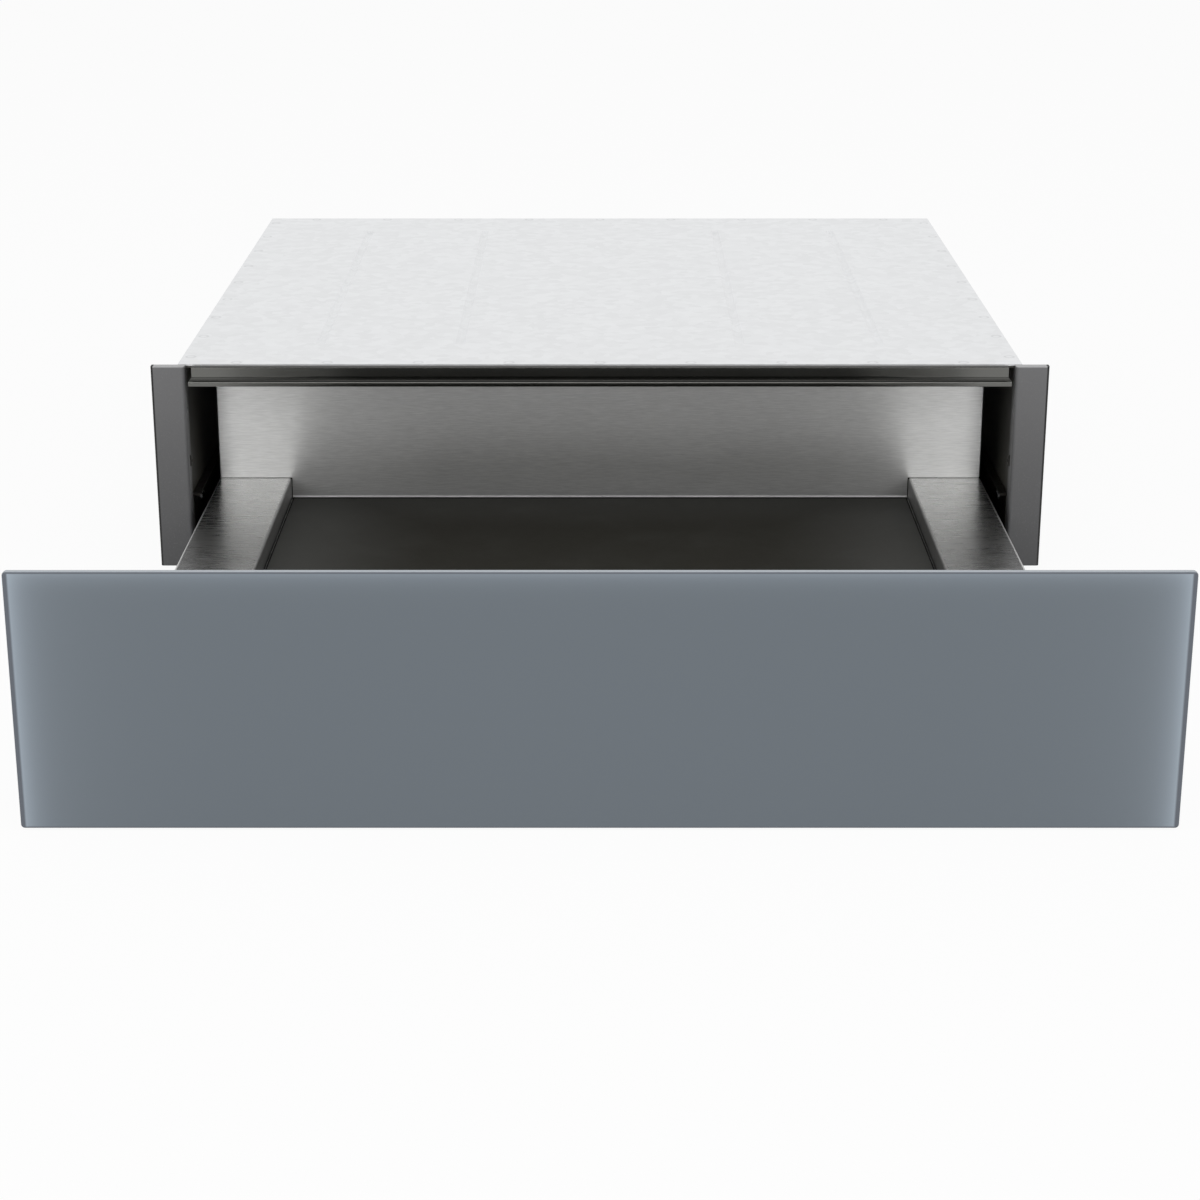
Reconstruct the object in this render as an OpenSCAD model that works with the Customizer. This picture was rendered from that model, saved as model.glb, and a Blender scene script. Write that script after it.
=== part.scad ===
/* [Glass front] */
// Width of the glass front
front_w = 597; // [520:1:800]
// Height of the glass front
front_h = 139; // [128:1:180]
// Thickness of the glass
glass_t = 4; // [3:0.5:6]
// Radius of the glass's four corners
glass_corner_r = 2; // [1:0.5:8]
// Width of the polished arris round the glass
arris = 0.5; // [0.2:0.1:1]
// Thickness of the tape that bonds the glass
tape_t = 1; // [0.5:0.1:2]
// Width of the bonding tape
tape_w = 12; // [6:1:20]
// Depth of the steel pan behind the glass, with its closing panel
carrier_d = 11; // [9:1:24]
// Distance of the steel pan's edges from the glass's edges
carrier_inset = 7; // [4:0.5:8]

/* [Housing] */
// Width over the front posts
frame_w = 590; // [582:1:596]
// Width of the housing behind the posts
housing_w = 556; // [550:1:562]
// Depth of the housing from the posts' faces to the rear panel
housing_d = 530; // [516:1:600]
// Height of the housing
housing_h = 140; // [132:1:200]
// Width of each front post
post_w = 22; // [20:0.5:24]
// Height of the posts' lower ends above the base
post_low = 3; // [0:0.5:6]
// Depth of the posts' folded edges
post_return = 6.5; // [5:0.5:10]
// Steel thickness of the posts and the side panels
side_t = 1.2; // [0.8:0.1:1.5]
// Steel thickness of the base, top and rear panels
panel_t = 1; // [0.8:0.1:1.5]
// Width of the side panels' folded flanges
flange_w = 11; // [8:1:13]
// Clear gap between the closed front and the posts
front_gap = 4; // [2:0.5:8]

/* [Top rail] */
// Height of the top rail's upper face
rail_face_h = 6; // [5:0.5:9]
// Height of the groove under the face
rail_groove_h = 1.9; // [1.5:0.1:3]
// Height of the folded lip under the groove
rail_lip_h = 2; // [1.8:0.1:3]
// Distance of the rail's lip from each post
rail_end_gap = 2.4; // [1:0.1:5]
// How much shorter the face is than the lip at each end
face_end_gap = 2.3; // [1:0.1:4]

/* [Tray] */
// Width of the tray over its side bands
tray_w = 528; // [500:1:532]
// Inner depth of the tray from the front's inside to the back wall
tray_d = 486; // [456:1:492]
// Width of each raised side band
band_w = 50; // [46:1:60]
// Height of the bands' upper face above the housing's base
band_z = 43.5; // [40:0.5:48]
// Depth of the sunk floor under the bands
step_h = 14.5; // [10:0.5:16]
// Steel thickness of the tray and the back wall
tray_t = 1; // [0.8:0.1:1.2]
// Height of the folded edge along each band
hem_h = 6; // [4:0.5:8]
// Height of the back wall's top edge above the housing's base
wall_top = 117; // [80:1:118]
// Thickness of the mat
mat_t = 1.5; // [1:0.1:3]
// Strip of floor left bare behind the mat
mat_rear_gap = 2.5; // [2:0.5:12]

/* [Runners] */
// Travel of the drawer from closed to open
travel = 410; // [300:5:415]
// Length of the fixed rail and of the drawer's rail
rail_len = 450; // [440:1:452]
// Height of the fixed rail
rail_h = 28.5; // [27:0.5:30]
// Diameter of the bearing balls
ball_d = 3.5; // [3:0.1:3.6]
// Steel thickness of the rails
rail_t = 1; // [0.8:0.05:1.1]
// Thickness of the ball cages
cage_t = 0.5; // [0.3:0.05:0.6]
// Number of balls in each group of a row
group_balls = 3; // [2:1:6]
// Spacing of the balls in a group
ball_pitch = 9; // [6:0.5:14]
// Steel thickness of the runner brackets
bracket_t = 1.5; // [1:0.1:1.6]

/* [Catches] */
// Distance of each push catch from the middle
catch_x = 150; // [60:1:180]
// Side of the square plunger
plunger_side = 9; // [7:0.5:10]
// Travel of the plunger when the front is pressed
press_travel = 3; // [2:0.5:5]
// Outer width of the catch body
catch_w = 22; // [18:1:28]
// Length of the catch body
catch_len = 62; // [50:1:64]

/* [Fixings] */
// Radius of the holes that fix the housing to the cabinet
fixing_hole_r = 2.25; // [2:0.05:3]
// Height between the two fixing holes of a side
fixing_spacing = 70; // [50:1:90]
// Radius of the rivets and screws
fastener_r = 2; // [1.5:0.1:2.5]

/* [Hidden] */

LEFT = -1;
RIGHT = 1;

// Clearance between a moving piece and what it faces
play = 0.3;
// Radial clearance of a rivet or screw in its hole
fastener_play = 0.05;
// Segments in each bend of a folded sheet
BEND_STEPS = 6;
// Segments in a round hole or a rivet
ROUND = 32;
// Overlap that joins or cuts solids cleanly
eps = 0.01;
// How far a cut runs past the sheet that it goes through
overrun = 1;
// Gap between two pieces of sheet that lie next to each other
sheet_gap = 0.5;

// Housing planes: X is across, the front faces -Y and the base lies on Z = 0
frame_y = -housing_d / 2;
rear_y = housing_d / 2;
body_x = housing_w / 2;
frame_x = frame_w / 2;
post_x = frame_x - post_w;
wall_x = body_x - side_t;
panel_y = frame_y + post_return + sheet_gap;

// Front planes in the open position, from the glass's face backwards
front_d = glass_t + tape_t + carrier_d;
glass_y = frame_y - front_gap - front_d - travel;
tape_y = glass_y + glass_t;
carrier_y = tape_y + tape_t;
tray_y = glass_y + front_d;
wall_y = tray_y + tray_d;
glass_z = 1;
glass_mid_z = glass_z + front_h / 2;
carrier_x = front_w / 2 - carrier_inset;
carrier_low = 5;
carrier_z0 = glass_z + carrier_low;
carrier_corner_r = 2;
tape_inset = 2;
rib_share = 1 / 3;
carrier_z1 = glass_z + front_h - carrier_inset;
buffer_r = 5;
buffer_inset_x = 7.5;
buffer_inset_z = 13;

// Tray heights
floor_z = band_z - step_h;
band_under = band_z - tray_t;
floor_under = floor_z - tray_t;
tray_x = tray_w / 2;
recess_x = tray_x - band_w;
tray_bend = 1.2;
wall_return = 8;
wall_hem = 7;
wall_hem_drop = 5;
wall_foot = 3.5;
wall_bend = 1.5 * tray_t;
foot_overlap = 4;
tray_tab = 16;
rear_tab = 4;
tab_end_gap = 10;
screw_end_gap = 30;
front_screw_x = (recess_x - screw_end_gap) * [-1, -0.35, 0.35, 1];
front_screw_z = floor_z - tray_tab / 2;
stiffener_stations = [0.25, 0.6];
hat_half = 9;
hat_foot = 10;
hat_depth = 8.5;
hat_end_gap = 8;
mat_corner_r = 3;
mat_front_gap = 1;

// Rail section, measured inwards from the fixed rail's back and up from its middle
ball_r = ball_d / 2;
race_r = ball_r + play;
race_mid = race_r + rail_t / 2;
cage_gap = 0.4;
rail_space = cage_t + 2 * cage_gap;
row_1 = [rail_t + rail_space + rail_t / 2 + race_mid, rail_h / 2 - rail_t - race_r];
row_gap = 2 * race_r + 1.4 * rail_t;
row_slope = -48;
row_2 = row_1 + row_gap * [cos(row_slope), sin(row_slope)];
rail_depth = row_2[0] + race_mid + rail_t / 2;
race_end = 16;
rail_bend_r = 1.6 * rail_t;
rim_r = 0.6 * rail_t;
rim_drop = 2 * sqrt(rim_r * race_mid);
rim_wrap = atan2(rim_drop, race_mid - rim_r);
s_angle = 360 + row_slope - acos(2 * race_mid / row_gap);
pocket_rim = 0.4;
rail_lift = 3;
rail_inset = 3;
rail_z = 2 * panel_t + rail_h / 2 + rail_lift;
rail_x = tray_x - rail_inset;
angle_t = 1.2;
angle_root = 5;
angle_end_gap = 8;
angle_x = rail_x - rail_depth;

// Rail ends in the open position
rail_set_back = 6;
rail_front = frame_y + rail_set_back;
rail_rear = rail_front + rail_len;
buffer_len = 7.7;
buffer_proud = 1;
middle_set_back = 2;
middle_len = rail_len - buffer_len - play - middle_set_back;
middle_front = rail_front + middle_set_back - travel / 2;
middle_rear = middle_front + middle_len;
drawer_rail_front = tray_y + rail_set_back;
drawer_rail_rear = drawer_rail_front + rail_len;
cage_end_gap = 6;
outer_y0 = rail_front + cage_end_gap;
outer_y1 = middle_rear - cage_end_gap;
outer_web = rail_t + cage_gap;
inner_y0 = middle_front + cage_end_gap;
inner_y1 = drawer_rail_rear - cage_end_gap;
inner_web = 2 * rail_t + rail_space + cage_gap;

// Pressed beads of the base and top panels
bead_r = 4;
bead_sink = 1.5;
bead_end_gap = 60;
base_bead_x = [-60, 60];
top_bead_x = [-190, -95, 95, 190];

// Rear panel: folded edges, air slots and corner screws
rear_flange = 12;
slot_w = 26;
slot_h = 4;
slot_pitch = 40;
slot_count = 10;
slot_row_gap = 40;
slot_z = [housing_h - slot_row_gap, housing_h + slot_row_gap] / 2;
rear_screw_x = body_x - (flange_w + side_t) / 2;
rear_screw_inset = 24;
rear_screw_z = [rear_screw_inset, housing_h - rear_screw_inset];
screw_tip = 3;
rear_bend = 3;

// Posts and fixing holes
lap_z = 2;
lap_len = 20.5;
fixing_gap = 15;
jog_gap = 0.3;
jog_len = 2.5;
lap_y1 = panel_y + lap_len;
fixing_y = panel_y + fixing_gap;
fixing_z0 = (housing_h - fixing_spacing) / 2;

// Runner bracket
bracket_x = wall_x - bracket_t / 2;
bracket_z0 = panel_t + side_t + bracket_t / 2;
bracket_rise = 1;
bracket_z1 = band_z + bracket_rise;
bracket_lip = 6;
bracket_gap = 1;
bracket_end_gap = 10;
bracket_y0 = lap_y1 + bracket_gap;
bracket_y1 = rail_rear - bracket_end_gap;
upright_rise = 11;
upright_z1 = rail_z + upright_rise;
rivet_stations = [0.08, 0.48, 0.88];
bracket_rivet_drop = 9;
bracket_rivet_z = band_z - bracket_rivet_drop;

// Push catches
catch_z0 = panel_t;
catch_wall = 4;
catch_h = plunger_side + 2 * catch_wall;
catch_corner_r = 2;
catch_floor = 10;
plunger_lift = 0.5;
plunger_z = catch_z0 + catch_h / 2 + plunger_lift;
ear_t = 3;
ear_len = 16;
ear_corner_r = 3;
catch_rib_count = 4;
catch_rib_t = 1.5;
catch_rib_proud = 0.8;
head_t = 4;
head_rim = 2.5;
latch_w = 3;
latch_depth = 2;
latch_front = 12;
latch_rear = 6;
striker_t = 1.5;
striker_inset = 105;
striker_half_w = 9;
striker_foot = 16;
striker_lift = 6;
striker_low = catch_z0 + striker_lift;
striker_mid_y = wall_y - striker_inset;
striker_rear_closed = striker_mid_y + striker_t / 2 + travel;
plunger_y = striker_rear_closed + play;
catch_y = plunger_y + head_t + press_travel + play;
catch_ear = 9;
plunger_end_gap = 8;
plunger_len = catch_len - catch_floor - plunger_end_gap;

// Top rail section heights and depths
rail_gauge = 0.8;
rail_bend = 0.45;
face_set_back = 1.4;
groove_depth = 4;
lip_set_back = 0.8;
lip_depth = 12;
back_drop = 3.5;
rail_rest = 26;
rise_len = 2;
face_y = frame_y + face_set_back;
groove_y = frame_y + groove_depth;
lip_y = frame_y + lip_set_back;
rail_back_y = frame_y + lip_depth;
rail_rest_y = panel_y + rail_rest;
top_under = housing_h - panel_t;

// Unit vector along v
function unit(v) = v / norm(v);
// v turned a quarter turn to the left
function left_of(v) = [-v[1], v[0]];
// v turned by a degrees
function turned(v, a) = [v[0] * cos(a) - v[1] * sin(a), v[0] * sin(a) + v[1] * cos(a)];
// Signed angle from u to v
function turn_angle(u, v) = atan2(u[0] * v[1] - u[1] * v[0], u * v);

// One bend of a sheet's middle line at b: each station is a point and the left normal there
function bend(a, b, c, r) =
    let (
        u = unit(b - a),
        turn = turn_angle(u, unit(c - b)),
        start = b - u * r * tan(abs(turn) / 2),
        n = left_of(u),
        centre = start + n * r * sign(turn)
    )
    [for (i = [0:BEND_STEPS])
        let (now = turned(n, turn * i / BEND_STEPS))
        [centre - now * r * sign(turn), now]];

// Stations along a sheet folded at each inner point of the path p
function fold(p, r) =
    let (last = len(p) - 1)
    concat(
        [[p[0], left_of(unit(p[1] - p[0]))]],
        [for (i = [1:last - 1]) each bend(p[i - 1], p[i], p[i + 1], r)],
        [[p[last], left_of(unit(p[last] - p[last - 1]))]]
    );

// Stations along a race's middle line: an arc of radius r about c
function curl(c, r, from, to) =
    [for (i = [0:2 * BEND_STEPS])
        let (
            a = from + (to - from) * i / (2 * BEND_STEPS),
            out = [cos(a), sin(a)]
        )
        [c + r * out, to < from ? out : -out]];

// The stations s mirrored downwards and walked the other way
function mirrored(s) =
    [for (i = [len(s) - 1:-1:0])
        [[s[i][0][0], -s[i][0][1]], [s[i][1][0], -s[i][1][1]]]];

// Section of a strip of thickness t along the stations s
module strip(s, t) {
    polygon(concat(
        [for (q = s) q[0] + q[1] * t / 2],
        [for (i = [len(s) - 1:-1:0]) s[i][0] - s[i][1] * t / 2]
    ));
}

// Section of a sheet of thickness t folded along the path p with middle radius r
module sheet(p, t, r) {
    strip(fold(p, r), t);
}

// Rectangle between two opposite corners
module rect(a, b) {
    translate(a) square(b - a);
}

// Rectangle about the origin with round corners
module round_rect(w, h, r) {
    square([w - 2 * r, h], center = true);
    square([w, h - 2 * r], center = true);
    for (x = [-1, 1], y = [-1, 1])
        translate([x * (w / 2 - r), y * (h / 2 - r)]) circle(r, $fn = ROUND);
}

// Box between two opposite corners
module block(a, b) {
    translate(a) cube(b - a);
}

// Extrudes an (x, z) section from y0 to y1
module along_y(y0, y1) {
    translate([0, y1, 0]) rotate([90, 0, 0]) linear_extrude(y1 - y0) children();
}

// Extrudes a (y, z) section from x0 to x1
module along_x(x0, x1) {
    translate([x0, 0, 0]) rotate([90, 0, 90]) linear_extrude(x1 - x0) children();
}

// Extrudes an (x, y) section from z0 to z1
module along_z(z0, z1) {
    translate([0, 0, z0]) linear_extrude(z1 - z0) children();
}

// Puts a piece that is drawn for the right on either side
module on_side(s) {
    if (s < 0) mirror([1, 0, 0]) children();
    else children();
}

// Round rod along X from x0 to x1
module rod_x(x0, x1, y, z, r) {
    translate([x0, y, z]) rotate([0, 90, 0]) cylinder(h = x1 - x0, r = r, $fn = ROUND);
}

// Round rod along Y from y0 to y1
module rod_y(y0, y1, x, z, r) {
    translate([x, y0, z]) rotate([-90, 0, 0]) cylinder(h = y1 - y0, r = r, $fn = ROUND);
}

// Rivet or screw whose shank runs down from the origin and whose domed head stands above it
module fastener(shank, socket = false) {
    head_r = fastener_r * 1.9;
    head_h = fastener_r * 0.75;
    translate([0, 0, -shank]) cylinder(h = shank + eps, r = fastener_r - fastener_play, $fn = ROUND);
    difference() {
        rotate_extrude($fn = ROUND) polygon([
            [0, 0], [head_r, 0], [head_r, head_h * 0.35], [head_r * 0.8, head_h * 0.8],
            [head_r * 0.5, head_h], [0, head_h]
        ]);
        if (socket)
            translate([0, 0, head_h * 0.4]) cylinder(h = head_h, r = fastener_r * 0.7, $fn = 6);
    }
}

// Long pressed bead: the hollow that the press leaves in a panel's outer face
module bead(x, y0, y1, z, r) {
    rod_y(y0, y1, x, z, r);
    for (y = [y0, y1])
        translate([x, y, z]) sphere(r, $fn = ROUND);
}

// Flat panel with long beads pressed towards the inside, which lies at the side up of its outer face
module beaded_panel(z0, z1, inside, xs) {
    outer = inside > 0 ? z0 : z1;
    inner = inside > 0 ? z1 : z0;
    centre = outer - inside * (bead_r - bead_sink);
    y0 = panel_y + bead_end_gap;
    y1 = rear_y - bead_end_gap;
    difference() {
        union() {
            block([-body_x, panel_y, z0], [body_x, rear_y, z1]);
            intersection() {
                union()
                    for (x = xs) bead(x, y0, y1, centre, bead_r + panel_t);
                block(
                    [-body_x, panel_y, min(outer, inner + inside * bead_r)],
                    [body_x, rear_y, max(outer, inner + inside * bead_r)]
                );
            }
        }
        for (x = xs) bead(x, y0, y1, centre, bead_r);
    }
}

module base_panel() {
    color("dimgray") beaded_panel(0, panel_t, 1, base_bead_x);
}

module top_panel() {
    color("lightgray") beaded_panel(top_under, housing_h, -1, top_bead_x);
}

// Folded side wall with flanges that carry the base, top and rear panels
module side_panel(s) {
    mid_x = body_x - side_t / 2;
    low = panel_t + side_t / 2;
    high = top_under - side_t / 2;
    turn_y = rear_y - panel_t - side_t / 2;
    color("dimgray") on_side(s) difference() {
        union() {
            along_y(panel_y, turn_y - rear_bend)
                sheet([[body_x - flange_w, low], [mid_x, low], [mid_x, high], [body_x - flange_w, high]],
                    side_t, side_t);
            along_z(low + 2 * side_t, high - 2 * side_t)
                sheet([[mid_x, turn_y - rear_bend - overrun], [mid_x, turn_y], [body_x - flange_w, turn_y]],
                    side_t, side_t);
        }
        for (z = [fixing_z0, fixing_z0 + fixing_spacing])
            rod_x(wall_x - overrun, body_x + overrun, fixing_y, z, fixing_hole_r);
        for (k = rivet_stations)
            rod_x(wall_x - overrun, body_x + overrun, bracket_y0 + k * (bracket_y1 - bracket_y0),
                bracket_rivet_z, fastener_r);
        rod_x(wall_x - overrun, body_x + overrun, fixing_y, housing_h / 2, fastener_r);
        for (z = rear_screw_z)
            rod_y(turn_y - side_t, turn_y + side_t, rear_screw_x, z, fastener_r);
    }
}

// Rear wall with two rows of air slots and screwed corners
module rear_panel() {
    mid_y = rear_y - panel_t / 2;
    low = panel_t * 1.5;
    high = top_under - panel_t / 2;
    flange_x = body_x - flange_w - sheet_gap;
    flange_y = rear_y - rear_flange;
    y0 = rear_y - panel_t - overrun;
    y1 = rear_y + overrun;
    color("dimgray") difference() {
        union() {
            along_x(-flange_x, flange_x)
                sheet([[flange_y, low], [mid_y, low], [mid_y, high], [flange_y, high]], panel_t, panel_t);
            for (s = [-1, 1]) on_side(s)
                block([flange_x - overrun, rear_y - panel_t, panel_t + sheet_gap],
                    [body_x - play, rear_y, top_under - sheet_gap]);
        }
        for (i = [0:slot_count - 1], z = slot_z) {
            x = (i - (slot_count - 1) / 2) * slot_pitch;
            block([x - slot_w / 2, y0, z - slot_h / 2], [x + slot_w / 2, y1, z + slot_h / 2]);
            for (e = [-1, 1]) rod_y(y0, y1, x + e * slot_w / 2, z, slot_h / 2);
        }
        for (x = [-1, 1], z = rear_screw_z)
            rod_y(y0, y1, x * rear_screw_x, z, fastener_r);
    }
}

// Hollow front post with folded edges, capped ends and a lap along the side panel
module post(s) {
    t = side_t;
    front = frame_y + t / 2;
    back = frame_y + post_return;
    lap_x = wall_x - t / 2;
    jog_y = panel_y - jog_gap - t / 2;
    color([0.38, 0.38, 0.38]) on_side(s) difference() {
        union() {
            along_z(post_low, housing_h)
                sheet([[frame_x - t / 2, back], [frame_x - t / 2, front], [post_x + t / 2, front],
                    [post_x + t / 2, back]], t, t);
            along_z(post_low + lap_z, housing_h - lap_z)
                sheet([[post_x + t / 2, front + t], [post_x + t / 2, jog_y - jog_len], [lap_x, jog_y],
                    [lap_x, lap_y1]], t, t * 0.6);
            for (z = [post_low, housing_h - t])
                along_z(z, z + t) rect([post_x + t, frame_y + t * 0.7], [frame_x - t * 0.7, back]);
        }
        for (z = [fixing_z0, fixing_z0 + fixing_spacing])
            rod_x(wall_x - 2 * t, body_x + overrun, fixing_y, z, fixing_hole_r);
        rod_x(wall_x - 2 * t, body_x + overrun, fixing_y, housing_h / 2, fastener_r);
    }
}

// Roll-formed rail across the top of the opening: face, groove, folded lip and a turned-down back
module top_rail() {
    t = rail_gauge;
    high = housing_h - t / 2;
    rest = top_under - t / 2;
    face_low = housing_h - rail_face_h - t / 2;
    lip_top = housing_h - rail_face_h - t - rail_groove_h - t / 2;
    lip_low = lip_top - rail_lip_h + t;
    lip_x = post_x - rail_end_gap;
    face_x = lip_x - face_end_gap;
    rise_y = panel_y - sheet_gap;
    color([0.2, 0.2, 0.2]) difference() {
        along_x(-lip_x, lip_x)
            sheet([[rail_rest_y, rest], [rise_y, rest], [rise_y - rise_len, high], [face_y, high],
                [face_y, face_low], [groove_y, face_low], [groove_y, lip_top], [lip_y, lip_top],
                [lip_y, lip_low], [rail_back_y, lip_low], [rail_back_y, lip_low - back_drop]], t, rail_bend);
        for (s = [-1, 1]) on_side(s) {
            block([face_x, frame_y - overrun, lip_top + t / 2 + play],
                [lip_x + overrun, panel_y - overrun, housing_h + overrun]);
            block([body_x - flange_w - overrun, panel_y - 1.5 * overrun, lip_top + t],
                [lip_x + overrun, rail_rest_y + overrun, housing_h + overrun]);
        }
    }
}

// Bracket between the side wall and the fixed rail, with a lip along its top
module runner_bracket(s) {
    upright_x = rail_x + bracket_t / 2;
    color([0.3, 0.3, 0.3]) on_side(s) difference() {
        along_y(bracket_y0, bracket_y1)
            sheet([[wall_x - bracket_lip, bracket_z1], [bracket_x, bracket_z1], [bracket_x, bracket_z0],
                [upright_x, bracket_z0], [upright_x, upright_z1]], bracket_t, bracket_t);
        for (k = rivet_stations) {
            y = bracket_y0 + k * (bracket_y1 - bracket_y0);
            rod_x(bracket_x - bracket_t, bracket_x + bracket_t, y, bracket_rivet_z, fastener_r);
            rod_x(upright_x - bracket_t, upright_x + bracket_t, y, rail_z, fastener_r);
        }
    }
}

// Places a section that is drawn inwards and upwards from the fixed rail's back, on the right
module rail_place(y0, y1) {
    along_y(y0, y1) translate([rail_x, rail_z]) mirror([1, 0]) children();
}

// Rail whose section runs down the mirrored stations to the web and up the stations s
module rail_section(y0, y1, s) {
    rail_place(y0, y1) strip(concat(mirrored(s), s), rail_t);
}

// Channel whose edges curl round the outer row of balls
module fixed_rail(s) {
    high = rail_h / 2 - rail_t / 2;
    color("silver") on_side(s) difference() {
        rail_section(rail_front, rail_rear, concat(
            curl([rail_t / 2 + rail_bend_r, high - rail_bend_r], rail_bend_r, 180, 90),
            curl(row_1, race_mid, 90, race_end)
        ));
        for (k = rivet_stations)
            rod_x(rail_x - rail_t - overrun, rail_x + overrun, bracket_y0 + k * (bracket_y1 - bracket_y0),
                rail_z, fastener_r);
    }
}

// One strip in S-curves: each edge cups the outer balls from below and caps the inner balls
module middle_rail(s) {
    color("gainsboro") on_side(s) rail_section(middle_front, middle_rear, concat(
        curl(row_1 - [race_mid - rim_r, rim_drop], rim_r, 180, rim_wrap),
        curl(row_1, race_mid, 180 + rim_wrap, s_angle),
        curl(row_2, race_mid, s_angle - 180, race_end)
    ));
}

// Channel that cups the inner balls, riveted to the tray's angle
module drawer_rail(s) {
    color("silver") on_side(s) difference() {
        rail_section(drawer_rail_front, drawer_rail_rear, concat(
            curl(row_2 + [race_mid - rim_r, -rim_drop], rim_r, 0, 180 - rim_wrap),
            curl(row_2, race_mid, 360 - rim_wrap, 180 + race_end)
        ));
        for (k = rivet_stations)
            rod_x(angle_x - overrun, angle_x + rail_t + overrun, drawer_rail_front + k * rail_len,
                rail_z, fastener_r);
    }
}

// Distance of each ball from the middle of a cage, for a cage of length l
function ball_stations(l) =
    [for (end = [-1, 1], i = [0:group_balls - 1]) end * (l / 2 - ball_d - i * ball_pitch)];

// Cage between y0 and y1: a web at web_x and a pierced strip through each row of balls
module cage(s, y0, y1, row, web_x) {
    reach = row[0] + ball_r + cage_gap / 2 + pocket_rim;
    mid_x = web_x + cage_t / 2;
    color("gold") on_side(s) difference() {
        rail_place(y0, y1)
            sheet([[reach, -row[1]], [mid_x, -row[1]], [mid_x, row[1]], [reach, row[1]]], cage_t, cage_t);
        for (v = ball_stations(y1 - y0), up = [-1, 1])
            translate([rail_x - row[0], (y0 + y1) / 2 + v, rail_z + up * row[1] - 1])
                cylinder(h = 2, r = ball_r + cage_gap / 2, $fn = ROUND);
    }
}

// Two rows of balls in a cage between y0 and y1
module balls(s, y0, y1, row) {
    color("whitesmoke") on_side(s)
        for (v = ball_stations(y1 - y0), up = [-1, 1])
            translate([rail_x - row[0], (y0 + y1) / 2 + v, rail_z + up * row[1]])
                sphere(ball_r, $fn = ROUND);
}

// The outer cage fills the overlap of the fixed and middle rails when the drawer is open
module outer_cage(s) {
    cage(s, outer_y0, outer_y1, row_1, outer_web);
}

module outer_balls(s) {
    balls(s, outer_y0, outer_y1, row_1);
}

// The inner cage fills the overlap of the middle and drawer rails when the drawer is open
module inner_cage(s) {
    cage(s, inner_y0, inner_y1, row_2, inner_web);
}

module inner_balls(s) {
    balls(s, inner_y0, inner_y1, row_2);
}

// Rubber stops at the rear of the fixed rails, which the middle rails meet when the drawer closes
module rail_buffers() {
    depth = rail_t + rail_space + rail_t + buffer_proud;
    color("black") for (s = [-1, 1]) on_side(s)
        rail_place(rail_rear - buffer_len, rail_rear)
            rect([rail_t, -rail_h / 4], [depth, rail_h / 4]);
}

// Rivets that hold the brackets to the side walls and the fixed rails to the brackets
module bracket_rivets() {
    color("silver") for (s = [-1, 1], k = rivet_stations) on_side(s) {
        y = bracket_y0 + k * (bracket_y1 - bracket_y0);
        translate([wall_x - bracket_t, y, bracket_rivet_z]) rotate([0, -90, 0])
            fastener(bracket_t + side_t);
        translate([rail_x + bracket_t, y, rail_z]) rotate([0, 90, 0])
            fastener(bracket_t + rail_t);
    }
}

// Rear panel screws and the screw in the middle of each post's lap
module housing_screws() {
    color("silver") {
        for (x = [-1, 1], z = rear_screw_z)
            translate([x * rear_screw_x, rear_y, z]) rotate([-90, 0, 0])
                fastener(panel_t + side_t + screw_tip, true);
        for (s = [-1, 1]) on_side(s)
            translate([wall_x - side_t, fixing_y, housing_h / 2]) rotate([0, -90, 0])
                fastener(2 * side_t, true);
    }
}

// Moulded push catch: an open-fronted box with a plunger channel, ribs and two screw ears
module catch_body(s) {
    y1 = catch_y + catch_len;
    mid_y = catch_y + catch_len / 2;
    hole = plunger_side + 2 * play;
    color("darkslategray") on_side(s) difference() {
        union() {
            along_y(catch_y, y1) translate([catch_x, catch_z0 + catch_h / 2])
                round_rect(catch_w, catch_h, catch_corner_r);
            for (e = [-1, 1])
                translate([catch_x + e * (catch_w + catch_ear - overrun) / 2, mid_y, catch_z0])
                    linear_extrude(ear_t) round_rect(catch_ear + overrun, ear_len, ear_corner_r);
            for (i = [1:catch_rib_count]) {
                y = catch_y + i * catch_len / (catch_rib_count + 1);
                along_y(y, y + catch_rib_t)
                    translate([catch_x, catch_z0 + (catch_h + catch_rib_proud) / 2])
                        round_rect(catch_w + 2 * catch_rib_proud, catch_h + catch_rib_proud, catch_corner_r);
            }
        }
        block([catch_x - hole / 2, catch_y - overrun, plunger_z - hole / 2],
            [catch_x + hole / 2, y1 - catch_floor, plunger_z + hole / 2]);
        for (e = [-1, 1])
            translate([catch_x + e * (catch_w + catch_ear) / 2, mid_y, catch_z0 - overrun])
                cylinder(h = ear_t + 2 * overrun, r = fastener_r, $fn = ROUND);
    }
}

// Sprung plunger with a broad head and a latch groove
module catch_plunger(s) {
    shaft_y = plunger_y + head_t;
    top_z = plunger_z + plunger_side / 2;
    color("whitesmoke") on_side(s) difference() {
        union() {
            along_y(plunger_y, shaft_y) translate([catch_x, plunger_z])
                round_rect(plunger_side + 2 * head_rim, plunger_side + head_rim, catch_corner_r);
            along_y(shaft_y - eps, shaft_y + plunger_len) translate([catch_x, plunger_z])
                square(plunger_side, center = true);
        }
        block([catch_x - latch_w / 2, shaft_y + latch_front, top_z - latch_depth],
            [catch_x + latch_w / 2, shaft_y + plunger_len - latch_rear, top_z + overrun]);
    }
}

module catch_screws() {
    color("silver") for (s = [-1, 1], e = [-1, 1]) on_side(s)
        translate([catch_x + e * (catch_w + catch_ear) / 2, catch_y + catch_len / 2, catch_z0 + ear_t])
            fastener(ear_t, true);
}

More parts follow.
